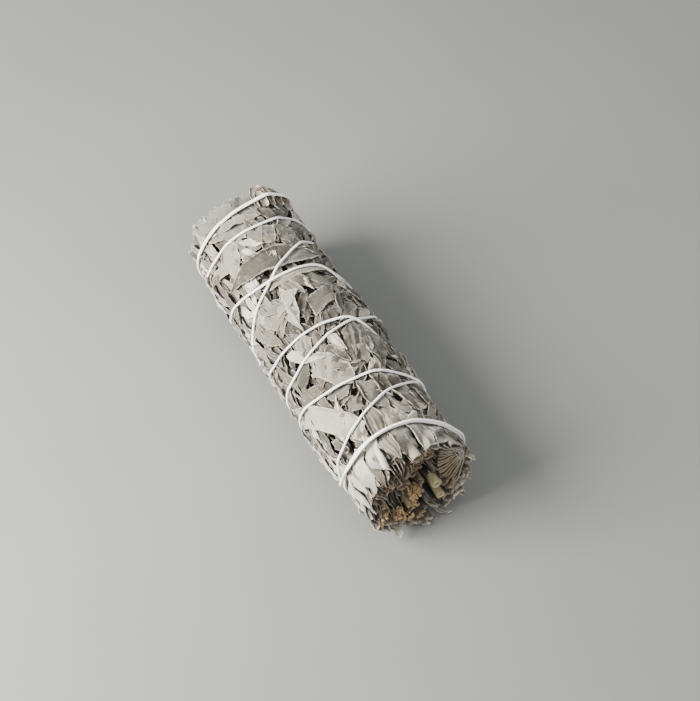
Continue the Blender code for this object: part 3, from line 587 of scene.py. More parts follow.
def side_leaf(pile, side, item, rng, step=0.42, drop=0, rest=False, fine=1):
    """Dried leaf pressed on what lies under it, with its own folds, creases and curled edges."""
    base_x, base_angle, tip_x, tip_angle, width, fold, kind, shade, warm = item
    run = (tip_x - base_x, (tip_angle - base_angle) * ARC)
    length = hypot(*run)
    along = (run[0] / length, run[1] / length)
    t = np.linspace(0, 1, max(9, int(length * 1.8 * fine)))[:, None]
    v = np.linspace(-1, 1, max(9, int(width * 2.5 * fine)) | 1)[None, :]
    v = v - 0.45 * np.sin(2 * pi * v) / (2 * pi)
    u, half = leaf_plan(rng, kind, t, v, length, width)
    bend = rng.uniform(-0.06, 0.06) * length
    curve = bend * np.sin(pi * t) + 0.2 * zigzag(2.3 * pi * t + rng.uniform(0, 6.3))
    body = np.sin(pi * np.clip(t, 0.04, 0.96)) ** 0.4
    w = v * half
    h = leaf_relief(rng, kind, fold, v, u, w, body, length)
    w, h = curled_edges(rng, kind, v, u, w, h, half, body)
    x = base_x + along[0] * u - along[1] * (curve + w)
    angle = base_angle + (along[1] * u + along[0] * (curve + w)) / ARC
    near = thread_distance(x, angle).reshape(x.shape)
    limit = top_radius(x, angle, near) - drop
    radius = ground_under(side, x, angle) + step
    soft = limit - 0.6
    over = np.maximum(radius - soft, 0)
    radius = np.where(over > 0, soft + 0.9 * (1 - np.exp(-over / 1.1)), radius)
    if rest:
        radius = 18.6 + 1.6 * np.sin(pi * t) * (1 - v * v)
    radius = radius + h
    side.raise_to(x, angle, np.minimum(radius, limit + 0.4))
    high = np.clip((radius - 16) / 2, 0, 1)
    radius = radius - PINCH_DEPTH * np.exp(-((near / PINCH_WIDTH) ** 2)) * high
    rim = np.maximum(np.clip((np.abs(v) - 0.86) / 0.14, 0, 1),
                     np.clip((np.abs(t - 0.5) * 2 - 0.955) / 0.045, 0, 1))
    # Painted light: leaves are made paler toward the near end
    shade = shade + NEAR_PAINTED_LIGHT * np.clip(x / 40, 0, 1)
    pile.add_shell(place(x, angle, radius), BLADE, shade, warm, rim, u, w, 0)


def fill_plan(seed, count, lengths, widths, spread, narrow=0.62):
    """Seeded leaves spread evenly over the side by a low-discrepancy rule."""
    rng = np.random.default_rng(seed)
    out = []
    for k in range(count):
        x = CORE_FAR - 1 + (CORE_NEAR - CORE_FAR + 3) * ((k * SPREAD_X + 0.37) % 1)
        angle = 360 * ((k * SPREAD_ANGLE + 0.11) % 1)
        length = rng.uniform(*lengths)
        width = rng.uniform(*widths)
        heading = rng.normal(0, spread) + (180 if rng.random() < 0.4 else 0)
        kind = rng.choice(["fold", "curl", "flat", "strip", "tri"], p=[0.34, 0.18, 0.22, 0.12, 0.14])
        if abs(wrapped(angle - LEFT_MIDDLE)) < LEFT_HALF:
            heading = rng.normal(0, 9) + (180 if rng.random() < 0.5 else 0)
            width *= narrow
            length *= 1.3
            kind = rng.choice(["fold", "strip", "curl"])
        dx = 0.5 * length * cos(radians(heading))
        da = 0.5 * length * sin(radians(heading)) / ARC
        base_x = np.clip(x - dx, far_limit(angle - da) + 0.4, near_limit(angle - da) - 0.5)
        tip_x = np.clip(x + dx, far_limit(angle + da), near_limit(angle + da))
        if hypot(tip_x - base_x, 2 * da * ARC) < 5:
            continue
        fold = rng.choice([-0.8, 0.8, 1.1, 1.5])
        out.append((base_x, angle - da, tip_x, angle + da, width, fold, kind,
                    rng.uniform(0.25, 1), rng.uniform(0.1, 0.9)))
    return out


def standing_leaf(pile, rng, path, x_root, x_tip, shade, warm, thickness=BLADE, jag=0.5, waver=0.16,
                  lean=0.5, browned=1, most=None, painted_tip_light=0, stain=0):
    """Leaf that stands along the axis at an end and shows the cut edge that follows the path."""
    out = 1 if x_tip > x_root else -1
    dist = np.concatenate([[0], np.cumsum(np.hypot(*np.diff(path, axis=0).T))])
    s = np.linspace(0, dist[-1], max(7, int(dist[-1] / 0.4)) | 1)
    y, z = np.interp(s, dist, path[:, 0]), np.interp(s, dist, path[:, 1])
    ahead = np.stack([np.gradient(y), np.gradient(z)])
    ahead = ahead / np.maximum(np.hypot(*ahead), 1e-9)
    t = np.linspace(0, 1, 14)[:, None]
    s = s[None, :]
    n = waver * ripple(rng, 6 * t, s, 4, 0.5, 1.4) + 0.05 * zigzag(ripple(rng, 8 * t, s, 4, 1, 3))
    n = n + rng.uniform(-lean, lean) * (1 - t)
    ragged = zigzag(ripple(rng, 0, s, 3, 0.9, 2.2)) + 0.6 * zigzag(ripple(rng, 0, s, 4, 2.4, 5))
    corner = np.maximum(0, np.abs(2 * s / dist[-1] - 1) - 0.75) * 2
    x = x_root + (x_tip - x_root) * t - out * jag * (0.6 * ragged + 0.5 + corner) * t ** 3
    waist = 0.9 + 0.1 * t ** 1.5
    y, z = y * waist - ahead[1] * n, z * waist + ahead[0] * n
    reach = np.hypot(y, z)
    if most is None:
        most = END_RADIUS + (end_flare(np.degrees(np.arctan2(z, y))) if out > 0 else 0)
    pull = np.where(reach > most, most / reach, 1)
    rim = np.maximum(browned * np.clip((t - 0.93) / 0.07, 0, 1), stain)
    # Painted light: the tip end is made paler
    shade = shade + painted_tip_light * np.clip((t - 0.9) / 0.1, 0, 1)
    face = 57.4 - 0.08 * z if out > 0 else 60.5
    # Painted shade: how far a place lies below the end face, for darkening toward near-black
    deep = np.clip((face - 1.5 - np.abs(x)) / 5, 0, 1)
    pile.add_shell(spot(x, y * pull, z * pull), thickness, shade, warm, rim, t * abs(x_tip - x_root), s, deep)


def loose_leaf(pile, points, width, roll, shade, warm, stain=0):
    """Narrow curled leaf along a line of points given from the axis."""
    points = np.array(points)
    t = np.linspace(0, 1, 22)
    at = np.stack([np.interp(t, np.linspace(0, 1, len(points)), points[:, k]) for k in range(3)], axis=1)
    ahead = np.gradient(at, axis=0)
    ahead /= np.linalg.norm(ahead, axis=1, keepdims=True)
    aside = np.cross(ahead, [0, 0, 1])
    aside /= np.linalg.norm(aside, axis=1, keepdims=True)
    up = np.cross(aside, ahead)
    v = np.linspace(-1, 1, 9)[None, :]
    half = np.interp(t, [0, 0.3, 0.7, 1], [0.6, 1, 0.7, 0.04]) * (1 + 0.16 * zigzag(19 * t))
    half = 0.5 * width * half[:, None]
    out = half * np.sin(roll * v) / roll
    lift = half * (1 - np.cos(roll * v)) / roll
    grid = at[:, None, :] + aside[:, None, :] * out[..., None] + up[:, None, :] * lift[..., None]
    rim = np.maximum(np.abs(v) ** 4, stain)
    grid = spot(grid[..., 0], grid[..., 1], grid[..., 2])
    pile.add_shell(grid, LOOSE_BLADE, shade, warm, rim, t[:, None] * 6, v, 0)


def turned(y, z, p, q, turn):
    """Line of y and z from its own two coordinates, turned about its middle."""
    a = radians(turn)
    return np.stack([y + p * cos(a) - q * sin(a), z + p * sin(a) + q * cos(a)], axis=1)


def bent_line(y, z, turn, width, bend, kind="arc"):
    """Line across a standing leaf: an arc, or a sharp fold."""
    v = np.linspace(-1, 1, 25)
    n = bend * (1 - v * v if kind == "arc" else 1.4 - 1.4 * np.abs(v))
    return turned(y, z, 0.5 * width * v, n, turn)


def spiral(y, z, radius, start, sweep, tighten, flat, turn):
    """Line across a rolled leaf."""
    v = np.linspace(0, 1, 60)
    a = np.radians(start + sweep * v)
    r = radius - tighten * v
    return turned(y, z, r * np.cos(a), r * flat * np.sin(a), turn)


def tone(rng):
    """Shade and warmth of a standing leaf."""
    return rng.uniform(0.25, 0.95), rng.uniform(0.2, 1)


def bend_kind(rng):
    return rng.choice(["arc", "fold"])


def within(y, z, circles):
    """Whether a place lies in any of the circles."""
    return any(hypot(y - p, z - q) < r for p, q, r in circles)


def polar(radius, angle):
    return radius * cos(radians(angle)), radius * sin(radians(angle))


def scattered(rng, count, radius):
    """Radius and angle of places spread evenly over a disc."""
    for k in range(count):
        yield radius * sqrt((k + 0.6) / count), GOLDEN_ANGLE * k + rng.uniform(-8, 8)


def placed_ends(near_pile, far_pile, rng):
    """Fan, rolled leaves and cut leaf edges that the photo shows."""
    for k in range(FAN_COUNT):
        f = k / (FAN_COUNT - 1)
        turn, long = 141 + 121 * f, 7.6 + 6.6 * f * f
        y = 15 + 1.3 * f + 0.5 * long * cos(radians(turn))
        z = 11.2 - 3 * f + 0.5 * long * sin(radians(turn))
        path = bent_line(y, z, turn, long, 0.5 + 0.5 * sin(3 * f) + rng.uniform(-0.15, 0.15))
        # Painted shade and light: the sheets' faces are made dark for the shade between them, and their tips
        # paler
        standing_leaf(near_pile, rng, path, NEAR_ROOT, 57.3 - rng.uniform(0, 0.7), 0.25,
                      rng.uniform(0.2, 0.7), FAN_BLADE, jag=0.25, waver=0.1, lean=0.1, browned=0.1, painted_tip_light=0.7)
    for x_tip, y, z, *shape in ROLLS:
        pile, x_root = (near_pile, 46) if x_tip > 0 else (far_pile, -52)
        standing_leaf(pile, rng, spiral(y, z, *shape), x_root, x_tip, rng.uniform(0.5, 0.9),
                      rng.uniform(0.4, 0.9), ROLL_BLADE, jag=0.3, waver=0.06, most=OUTER_RADIUS)
    for y, z, turn, width, bend, x_tip in STANDING:
        for extra in range(3):
            off, sway = 0.85 * extra, rng.uniform(-7, 7) * extra
            path = bent_line(y + off * sin(radians(turn)), z - off * cos(radians(turn)), turn + sway,
                             width * rng.uniform(0.7, 1.1), bend, bend_kind(rng))
            standing_leaf(near_pile, rng, path, NEAR_ROOT, x_tip - rng.uniform(0.3, 1.3) * extra, *tone(rng))


def near_end(pile, rng):
    """Leaves that fill the near end: rings of them, then the middle."""
    blocked = [(y, z, radius + 0.4) for y, z, radius, _ in STEMS + BUDS]
    blocked += [(y, z, radius + 0.2) for x, y, z, radius, *_ in ROLLS if x > 0]
    blocked += [(3.4, 5, 2.6), (4.2, 0.4, 2.4), (4.4, -4.4, 2.6), (5.2, -8.6, 2.8)]
    for layer, (rim_at, count) in enumerate(((18.7, 19), (17.2, 17), (15.5, 15), (13.6, 12), (11.6, 10))):
        for k in range(count):
            phi = 360 * (k + 0.37 * layer) / count + rng.uniform(-6, 6)
            rad = rim_at + (1 - 0.18 * layer) * end_flare(phi)
            y, z = polar(rad, phi)
            if layer and within(y, z, blocked) or hypot(y - 11.4, z - 6) < 6:
                continue
            width = rng.uniform(4, 7.5)
            bend = rng.uniform(-0.9, 0.7) - 0.125 * width * width / rad * 0.8
            turn = phi + 90 + rng.normal(0, 9 + 5 * layer)
            path = bent_line(y, z, turn, width, -bend, bend_kind(rng))
            tip = min(57.9 - 0.07 * z, near_limit(phi) + 0.6 + 1.2 * layer)
            standing_leaf(pile, rng, path, NEAR_ROOT, tip - rng.uniform(0, 1.4), *tone(rng), jag=0.7)
    for rad, phi in scattered(rng, 60, 11):
        y, z = polar(rad, phi)
        if within(y, z, blocked + [(10.4, 5, 5)]):
            continue
        path = bent_line(y, z, 110 + rng.normal(0, 40), rng.uniform(2.6, 5.4), rng.uniform(-1.1, 1.1),
                         bend_kind(rng))
        standing_leaf(pile, rng, path, 43, 56.4 - rng.uniform(0, 4), *tone(rng))


def far_end(pile, rng):
    """Leaves that fill the far end, browner on its right and shorter under the broad torn leaves."""
    rolled = [(y, z, radius + 0.3) for x, y, z, radius, *_ in ROLLS if x < 0]
    for rad, phi in scattered(rng, 190, 18.4):
        y, z = polar(rad, phi)
        if within(y, z, rolled):
            continue
        path = bent_line(y, z, phi + 90 + rng.normal(0, 30), rng.uniform(3.4, 6.8),
                         rng.uniform(-1.1, 1.1), bend_kind(rng))
        tip = far_limit(phi) - (1.4 if rad > 14 else 0.4) - rng.uniform(0, 2.2)
        shade, warm = tone(rng)
        stain, most = 0, END_RADIUS
        if facing(phi, 60) > 0.8:
            shade, warm, stain = 0.7 * shade, 1, rng.uniform(0, 0.9)
        if facing(phi, 116) > 0.8:
            most, tip = 16.6, tip + 2.6
        elif facing(phi, 180) > 0.5:
            tip = tip + 1.4
        standing_leaf(pile, rng, path, FAR_ROOT, tip, shade, warm, jag=1.8, most=most, stain=stain)


def tube(points, ups, radius_of, sides):
    """Verts and faces of a sweep; radius_of(i, k) gives the radius at each point and side."""
    ahead = np.gradient(points, axis=0)
    ahead /= np.linalg.norm(ahead, axis=1, keepdims=True)
    up = ups - ahead * (ups * ahead).sum(axis=1, keepdims=True)
    up /= np.linalg.norm(up, axis=1, keepdims=True)
    aside = np.cross(ahead, up)
    phi = 2 * pi * np.arange(sides) / sides
    i, k = np.meshgrid(np.arange(len(points)), np.arange(sides), indexing="ij")
    r = np.broadcast_to(radius_of(i, k), i.shape)
    ring = up[:, None, :] * np.cos(phi)[None, :, None] + aside[:, None, :] * np.sin(phi)[None, :, None]
    verts = (points[:, None, :] + ring * r[..., None]).reshape(-1, 3)
    return verts.tolist(), ring_faces(len(points), sides)


def stem(name, y, z, radius, x_end, index, material):
    """Cut stem: rounded square section with ribs, a pith hollow and a slightly torn end."""
    sides = 48
    profile = [(x, 1) for x in np.linspace(CORE_NEAR - 12, x_end - 0.3, 26)]
    profile += [(x_end + past, share) for past, share in STEM_END]
    phi = 2 * pi * np.arange(sides) / sides
    verts = []
    for x, share in profile:
        square = 1 + 0.07 * np.cos(4 * phi + index) + 0.03 * np.cos(11 * phi + 0.2 * x + index)
        square = square + 0.012 * np.cos(23 * phi + 2 * index)
        r = radius * share * square
        torn = 0.06 * np.sin(2 * phi + index) + 0.03 * np.sin(7 * phi) if 0.4 < share < 0.95 else 0
        bow = 0.12 * sin(0.5 * x + index)
        verts.append(spot(x + torn, y + bow + r * np.cos(phi), z + r * np.sin(phi)))
    faces = ring_faces(len(profile), sides, inward=True)
    return mesh_object(name, np.concatenate(verts).tolist(), faces, material)


def floret(verts, faces, at, direction, long, wide, rng):
    """Small dry cup with a ragged mouth."""
    direction = np.array(direction) / np.linalg.norm(direction)
    aside = np.cross(direction, [0.3, 0.9, 0.2])
    aside /= np.linalg.norm(aside)
    up = np.cross(direction, aside)
    sides, base = 9, len(verts)
    teeth = rng.uniform(0.8, 1.2, sides)
    for i, (d, r) in enumerate(CUP_ROWS):
        for k in range(sides):
            phi = 2 * pi * k / sides
            reach = long * d * (teeth[k] if 2 < i < 5 else 1)
            point = np.array(at) + direction * reach + wide * r * (cos(phi) * aside + sin(phi) * up)
            verts.append(spot(*point).tolist())
    faces += ring_faces(len(CUP_ROWS), sides, base)


def cluster(verts, faces, x, y, z, radius, count, rng):
    """Dry cups that face out from a middle."""
    for k in range(count):
        a = 1.75 * sqrt((k + 0.5) / count)
        phi = 2.399 * k + rng.uniform(-0.3, 0.3)
        way = np.array([cos(a), sin(a) * cos(phi), sin(a) * sin(phi)])
        way = way + rng.uniform(-0.35, 0.35, 3)
        at = np.array([x - 0.9 * radius, y, z]) + way * radius * rng.uniform(0.3, 0.62)
        floret(verts, faces, at, way, radius * rng.uniform(0.5, 0.75), radius * rng.uniform(0.2, 0.32), rng)


def bud(name, y, z, radius, x, index, material):
    """Dried flower head: papery cups in a tight cluster on its stalk."""
    rng = np.random.default_rng(500 + index)
    verts, faces = [], []
    cluster(verts, faces, x + 0.6, y, z, radius * 1.12, 34, rng)
    floret(verts, faces, (x - 9, y, z), (1, 0, 0), 9.5, 0.8, rng)
    return mesh_object(name, verts, faces, material)


def flower_bits(material):
    """Crumbs of flower heads caught between the leaves."""
    rng = np.random.default_rng(61)
    verts, faces = [], []
    for x, y, z, radius in CRUMBS:
        cluster(verts, faces, x, y, z, radius, 15, rng)
    return mesh_object("flower_bits", verts, faces, material)


def tighten(values, rounds):
    """Radii of the thread raised until it runs straight over hollows."""
    for _ in range(rounds):
        for step in (1, 3, 6):
            before, after = values[:-2 * step], values[2 * step:]
            chord = 2 * before * after * cos(radians(THREAD_STEP * step))
            chord /= before + after
            values[step:-step] = np.maximum(values[step:-step], chord)
    return values


def thread_radius(trees):
    """Radius of the thread's middle at each step, drawn tight over the leaves."""
    count, ring = len(THREAD_ANGLE), int(360 / THREAD_STEP)
    ground = np.full(count, LEAST_GROUND)
    for i in range(count):
        a = radians(THREAD_ANGLE[i])
        for dx in (-0.35, 0, 0.35):
            start = Vector(place(THREAD_X[i] + dx, THREAD_ANGLE[i], RAY_START))
            for tree in trees:
                hit = tree.ray_cast(start, Vector((0, -cos(a), -sin(a))), RAY_LENGTH * MM)[0]
                if hit is not None:
                    ground[i] = max(ground[i], hypot(hit.y / MM - SHIFT[1], hit.z / MM - AXIS_HEIGHT))
    radius = ground + THREAD_RADIUS * 0.86
    down = from_bottom(THREAD_ANGLE)
    slope = np.maximum(np.cos(np.radians(np.minimum(down, 79))), 0.2)
    most = np.where(down < 80, (AXIS_HEIGHT - THREAD_RADIUS - 0.05) / slope, 99)
    radius = tighten(np.minimum(radius, most), 20)
    pitch = 2 * THREAD_RADIUS
    for _ in range(2):
        for i in range(count):
            for j in range(i - ring, -1, -ring):
                near = abs(THREAD_X[i] - THREAD_X[j])
                if near < pitch:
                    radius[i] = max(radius[i], radius[j] + sqrt(pitch * pitch - near * near))
        radius = np.minimum(tighten(radius, 12), most)
    return np.maximum(smoothed(radius, 7), radius - 0.12)


def binding(trees, material):
    """Three twisted plies of cotton along the line, with its knot."""
    coarse = place(THREAD_X, THREAD_ANGLE, thread_radius(trees))
    a = np.radians(THREAD_ANGLE)
    outward = np.stack([np.zeros_like(a), np.cos(a), np.sin(a)], axis=1)
    dist = np.concatenate([[0], np.cumsum(np.linalg.norm(np.diff(coarse, axis=0), axis=1))])
    print("thread length %.3f m" % dist[-1])
    fine = np.arange(0, dist[-1], 0.36 * MM)
    points = np.stack([smoothed(np.interp(fine, dist, coarse[:, k]), 9) for k in range(3)], axis=1)
    ups = np.stack([np.interp(fine, dist, outward[:, k]) for k in range(3)], axis=1)
    sides = 15

    def ply(i, k):
        turn = fine[i] / (TWIST_LENGTH * MM) * 2 * pi
        wave = np.abs(np.cos(1.5 * (2 * pi * k / sides) - 1.5 * turn))
        fuzz = 1 + 0.04 * np.sin(0.9 * i) * np.sin(0.37 * i + 1)
        return THREAD_RADIUS * MM * (0.93 + 0.08 * wave) * fuzz

    thread = mesh_object("cotton_thread", *tube(points, ups, ply, sides), material)

    knot_at = radians(KNOT_ANGLE)
    out, aside = np.array([0, cos(knot_at), sin(knot_at)]), np.array([0, -sin(knot_at), cos(knot_at)])
    s = np.linspace(0, 2 * pi, 220)
    loop = np.outer(1.25 * (np.sin(s) + 0.55 * np.sin(2 * s)), aside)
    loop = loop + np.outer(0.95 * (np.cos(s) - 0.55 * np.cos(2 * s)), [1, 0, 0])
    loop = loop + np.outer(0.38 * np.sin(3 * s), out)
    loop = (0.5 * (points[0] + points[-1]) + out * 0.25 * MM)[None, :] + MM * loop
    ups = np.repeat(out[None, :], len(s), axis=0)
    verts, faces = tube(loop, ups, lambda i, k: THREAD_RADIUS * MM * 0.9, 12)
    return thread, mesh_object("thread_knot", verts, faces[:-2], material)


def inside_core(material):
    """Packed inside, painted dark as shade, that shows only in the deep gaps, creased as folded leaves are.
    """
    rng = np.random.default_rng(12)
    rows, cols = 150, 180
    t = np.linspace(0, 1, rows)[:, None]
    a = np.linspace(0, 360, cols, endpoint=False)[None, :]
    x = CORE_FAR + 0.5 + (CORE_NEAR - CORE_FAR - 1) * t
    crease = ripple(rng, x, a * 0.27, 6, 0.3, 1.2)
    pleat = np.abs(np.sin(np.radians(a * 17) + 0.25 * x + crease))
    end = np.minimum(t, 1 - t) * rows
    r = (14.6 + 0.5 * pleat + 0.25 * crease) * np.clip(0.9 + 0.1 * end / 3, 0, 1)
    verts = place(x, a, r).reshape(-1, 3).tolist()
    faces = ring_faces(rows, cols, inward=True)[:-2]
    for first, middle, order in ((0, CORE_FAR + 1.5, 1), ((rows - 1) * cols, CORE_NEAR - 1.5, -1)):
        verts.append(place(middle, 0, 0).tolist())
        for k in range(cols):
            faces.append([len(verts) - 1] + [first + k, first + (k + 1) % cols][::order])
    return mesh_object("bunch_inside", verts, faces, material)


def srgb(text):
    """Linear colour from a hex colour."""
    values = [int(text[i:i + 2], 16) / 255 for i in (0, 2, 4)]
    return tuple(v / 12.92 if v <= 0.04045 else ((v + 0.055) / 1.055) ** 2.4 for v in values)


class Nodes:
    """Small helper to wire a material."""

    def __init__(self, name):
        self.material = bpy.data.materials.new(name)
        self.material.use_nodes = True
        self.tree = self.material.node_tree

    def feed(self, socket, value):
        """Link an output to a socket, or set the socket to a number, a tuple or a hex colour."""
        if isinstance(value, str):
            value = (*srgb(value), 1)
        if isinstance(value, (int, float, tuple)):
            socket.default_value = value
        else:
            self.tree.links.new(value, socket)

    def node(self, kind, inputs, **settings):
        node = self.tree.nodes.new("ShaderNode" + kind)
        for key, value in settings.items():
            setattr(node, key, value)
        for key, value in inputs.items():
            self.feed(node.inputs[key], value)
        return node

    def position(self, scale=(1, 1, 1)):
        coords = self.node("TexCoord", {}).outputs["Object"]
        return self.node("Mapping", {"Vector": coords, "Scale": scale}).outputs["Vector"]

    def noise(self, vector, scale, detail=3, rough=0.55, distortion=0):
        inputs = {"Vector": vector, "Scale": scale, "Detail": detail, "Roughness": rough,
                  "Distortion": distortion}
        return self.node("TexNoise", inputs).outputs["Fac"]

    def attribute(self, name):
        return self.node("Attribute", {}, attribute_name=name).outputs["Fac"]

    def ramp(self, value, *stops):
        """Colour by a value. Each stop is a place with a hex colour, a grey or a linear colour."""
        node = self.node("ValToRGB", {"Fac": value})
        ramp = node.color_ramp
        while len(ramp.elements) < len(stops):
            ramp.elements.new(0.5)
        for element, (stop_at, colour) in zip(ramp.elements, stops):
            if isinstance(colour, str):
                colour = srgb(colour)
            elif isinstance(colour, (int, float)):
                colour = (colour, colour, colour)
            element.position = stop_at
            element.color = (*colour, 1)
        return node.outputs["Color"]

    def gaps(self, distance, *stops):
        """Painted shade: ramp over how open the surface is within a short distance, to darken gaps and
        creases in the colour.
        """
        node = self.node("AmbientOcclusion", {"Distance": distance * MM}, samples=6)
        return self.ramp(node.outputs["AO"], *stops)

    def mix(self, factor, a, b, blend="MIX"):
        return self.node("Mix", {0: factor, 6: a, 7: b}, data_type="RGBA", blend_type=blend).outputs[2]

    def tint(self, where, base, strength, colour):
        """Base colour multiplied by another one where the first value says so."""
        return self.mix(where, base, self.mix(strength, base, colour, "MULTIPLY"))

    def math(self, operation, a, b=0, clamp=False):
        return self.node("Math", {0: a, 1: b}, operation=operation, use_clamp=clamp).outputs[0]

    def times(self, a, b, clamp=False):
        return self.math("MULTIPLY", a, b, clamp)

    def bump(self, height, strength, distance, **normal):
        inputs = {"Strength": strength, "Distance": distance, "Height": height, **normal}
        return self.node("Bump", inputs).outputs["Normal"]

    def surface(self, inputs):
        """Feed the shader and hand over the material."""
        for key, value in inputs.items():
            self.feed(self.tree.nodes["Principled BSDF"].inputs[key], value)
        return self.material


def leaf_material(name, brown, at_end):
    """Felted dry leaf: grey-green to cream by leaf, mottled, veined, browned at the cut edges, with painted
    highlights on some edges and painted shade in gaps and deep places.
    """
    m = Nodes(name)
    p = m.position()
    shade, warm, rim, along, across = (m.attribute(key) for key in LEAF_VALUES[:5])
    cool = m.ramp(shade, (0.2, "27281F"), (0.42, "3B3B32"), (0.72, "5D5C52"), (1, "C3C1B3"))
    cream = m.ramp(shade, (0.2, "312922"), (0.42, "483F35"), (0.72, "6A6053"), (1, "C8BDAC"))
    base = m.mix(m.times(warm, 0.9), cool, cream)
    base = m.mix(m.ramp(m.noise(p, 240, 4, 0.6), (0.35, 0), (0.75, 0.5)), base, "5F594D")
    base = m.mix(m.ramp(m.noise(p, 90, 2, 0.5), (0.55, 0), (0.8, 0.45)), base, "7B6F6A")
    felt = m.noise(p, 2600, 3, 0.7)
    base = m.mix(0.35, base, m.ramp(felt, (0.3, (0.45, 0.44, 0.41)), (0.7, 1)), "MULTIPLY")
    slant = m.math("ADD", m.times(along, 3.1), m.times(m.math("ABSOLUTE", across), -2.2))
    wobble = m.times(m.noise(p, 260, 2, 0.5), 5)
    veins = m.ramp(m.math("SINE", m.math("ADD", slant, wobble)), (0.9, 0), (1, 1))
    base = m.mix(m.times(veins, 0.14), base, "8B8577")
    edge_noise = m.noise(p, 700, 3, 0.6)
    edge = m.times(rim, m.ramp(edge_noise, (0.35, 0.15), (0.7, 1)), True)
    # Painted highlight: some leaf edges are made pale
    pale = m.times(rim, m.ramp(edge_noise, (0.4, 0.6), (0.6, 0)), True)
    base = m.mix(m.times(edge, brown), base, "6E4A36")
    base = m.mix(pale, base, "C9C6B8")
    base = m.mix(m.ramp(m.noise(p, 1500, 1, 0.5), (0.72, 0), (0.8, 0.5)), base, "6B5B49")
    parts = m.node("SeparateXYZ", {0: p}).outputs
    dy = m.math("SUBTRACT", parts[1], SHIFT[1] * MM)
    dz = m.math("SUBTRACT", parts[2], AXIS_HEIGHT * MM)
    out = m.math("SQRT", m.math("ADD", m.times(dy, dy), m.times(dz, dz)))
    out = m.times(out, 1 / (DEPTH_RADIUS * MM))
    # Painted shade: leaves that lie deep under the outer surface are darkened and browned
    if not at_end:
        base = m.tint(m.ramp(out, (0.8, 1), (0.9, 0)), base, 0.7, "5A4A3C")
    # Painted shade: gaps and creases between the leaves are darkened
    base = m.tint(m.gaps(1.5, (0.14, 1), (0.34, 0.62), (0.7, 0)), base, 0.93, GAP_PAINTED_SHADE)
    if at_end:
        base = m.tint(m.ramp(out, (0.7, 1), (0.88, 0)), base, 0.75, "DEC49E")
        # Painted shade: places deep below the end faces are darkened toward near-black
        base = m.tint(m.attribute("deep"), base, 0.94, "2A1E16")
    crinkle = m.node("TexVoronoi", {"Vector": p, "Scale": 900}, feature="SMOOTH_F1").outputs["Distance"]
    normal = m.bump(felt, 0.35, 0.00012)
    normal = m.bump(crinkle, 0.28, 0.00018, Normal=normal)
    normal = m.bump(m.noise(p, 420, 3, 0.6), 0.4, 0.0005, Normal=normal)
    normal = m.bump(veins, 0.3, 0.00015, Normal=normal)
    return m.surface({"Base Color": base, "Roughness": 0.9, "Specular IOR Level": 0.18,
                      "Sheen Weight": 0.35, "Sheen Roughness": 0.5, "Normal": normal})


def plain_material(name, stops, scale, fine_scale, bump, distance, rough=0.95, stretch=(1, 1, 1),
                   sheen=0, paint_gap_shade=True):
    """Streaked or mottled dry stuff: stem, flower head, inside of the bunch, cotton."""
    m = Nodes(name)
    p = m.position(stretch)
    base = m.ramp(m.noise(p, scale, 5, 0.65, 0.3), *stops)
    fine = m.noise(p, fine_scale, 4, 0.7)
    base = m.mix(0.4, base, m.ramp(fine, (0.25, (0.35, 0.3, 0.25)), (0.7, 1)), "MULTIPLY")
    # Painted shade: gaps and creases are darkened
    if paint_gap_shade:
        base = m.tint(m.gaps(1.2, (0.1, 1), (0.6, 0)), base, 0.9, GAP_PAINTED_SHADE)
    return m.surface({"Base Color": base, "Roughness": rough, "Specular IOR Level": 0.2,
                      "Sheen Weight": sheen, "Normal": m.bump(fine, bump, distance)})


def floor_material():
    m = Nodes("pale_floor")
    p = m.position()
    base = m.ramp(m.noise(p, 9, 4, 0.5), (0.3, FLOOR_DARK), (0.7, FLOOR_LIGHT))
    return m.surface({"Base Color": base, "Roughness": 0.85, "Specular IOR Level": 0.15,
                      "Normal": m.bump(m.noise(p, 600, 3, 0.6), 0.04, 0.0003)})


def tree_of(obj):
    mesh = obj.data
    return BVHTree.FromPolygons([v.co for v in mesh.vertices], [list(p.vertices) for p in mesh.polygons])


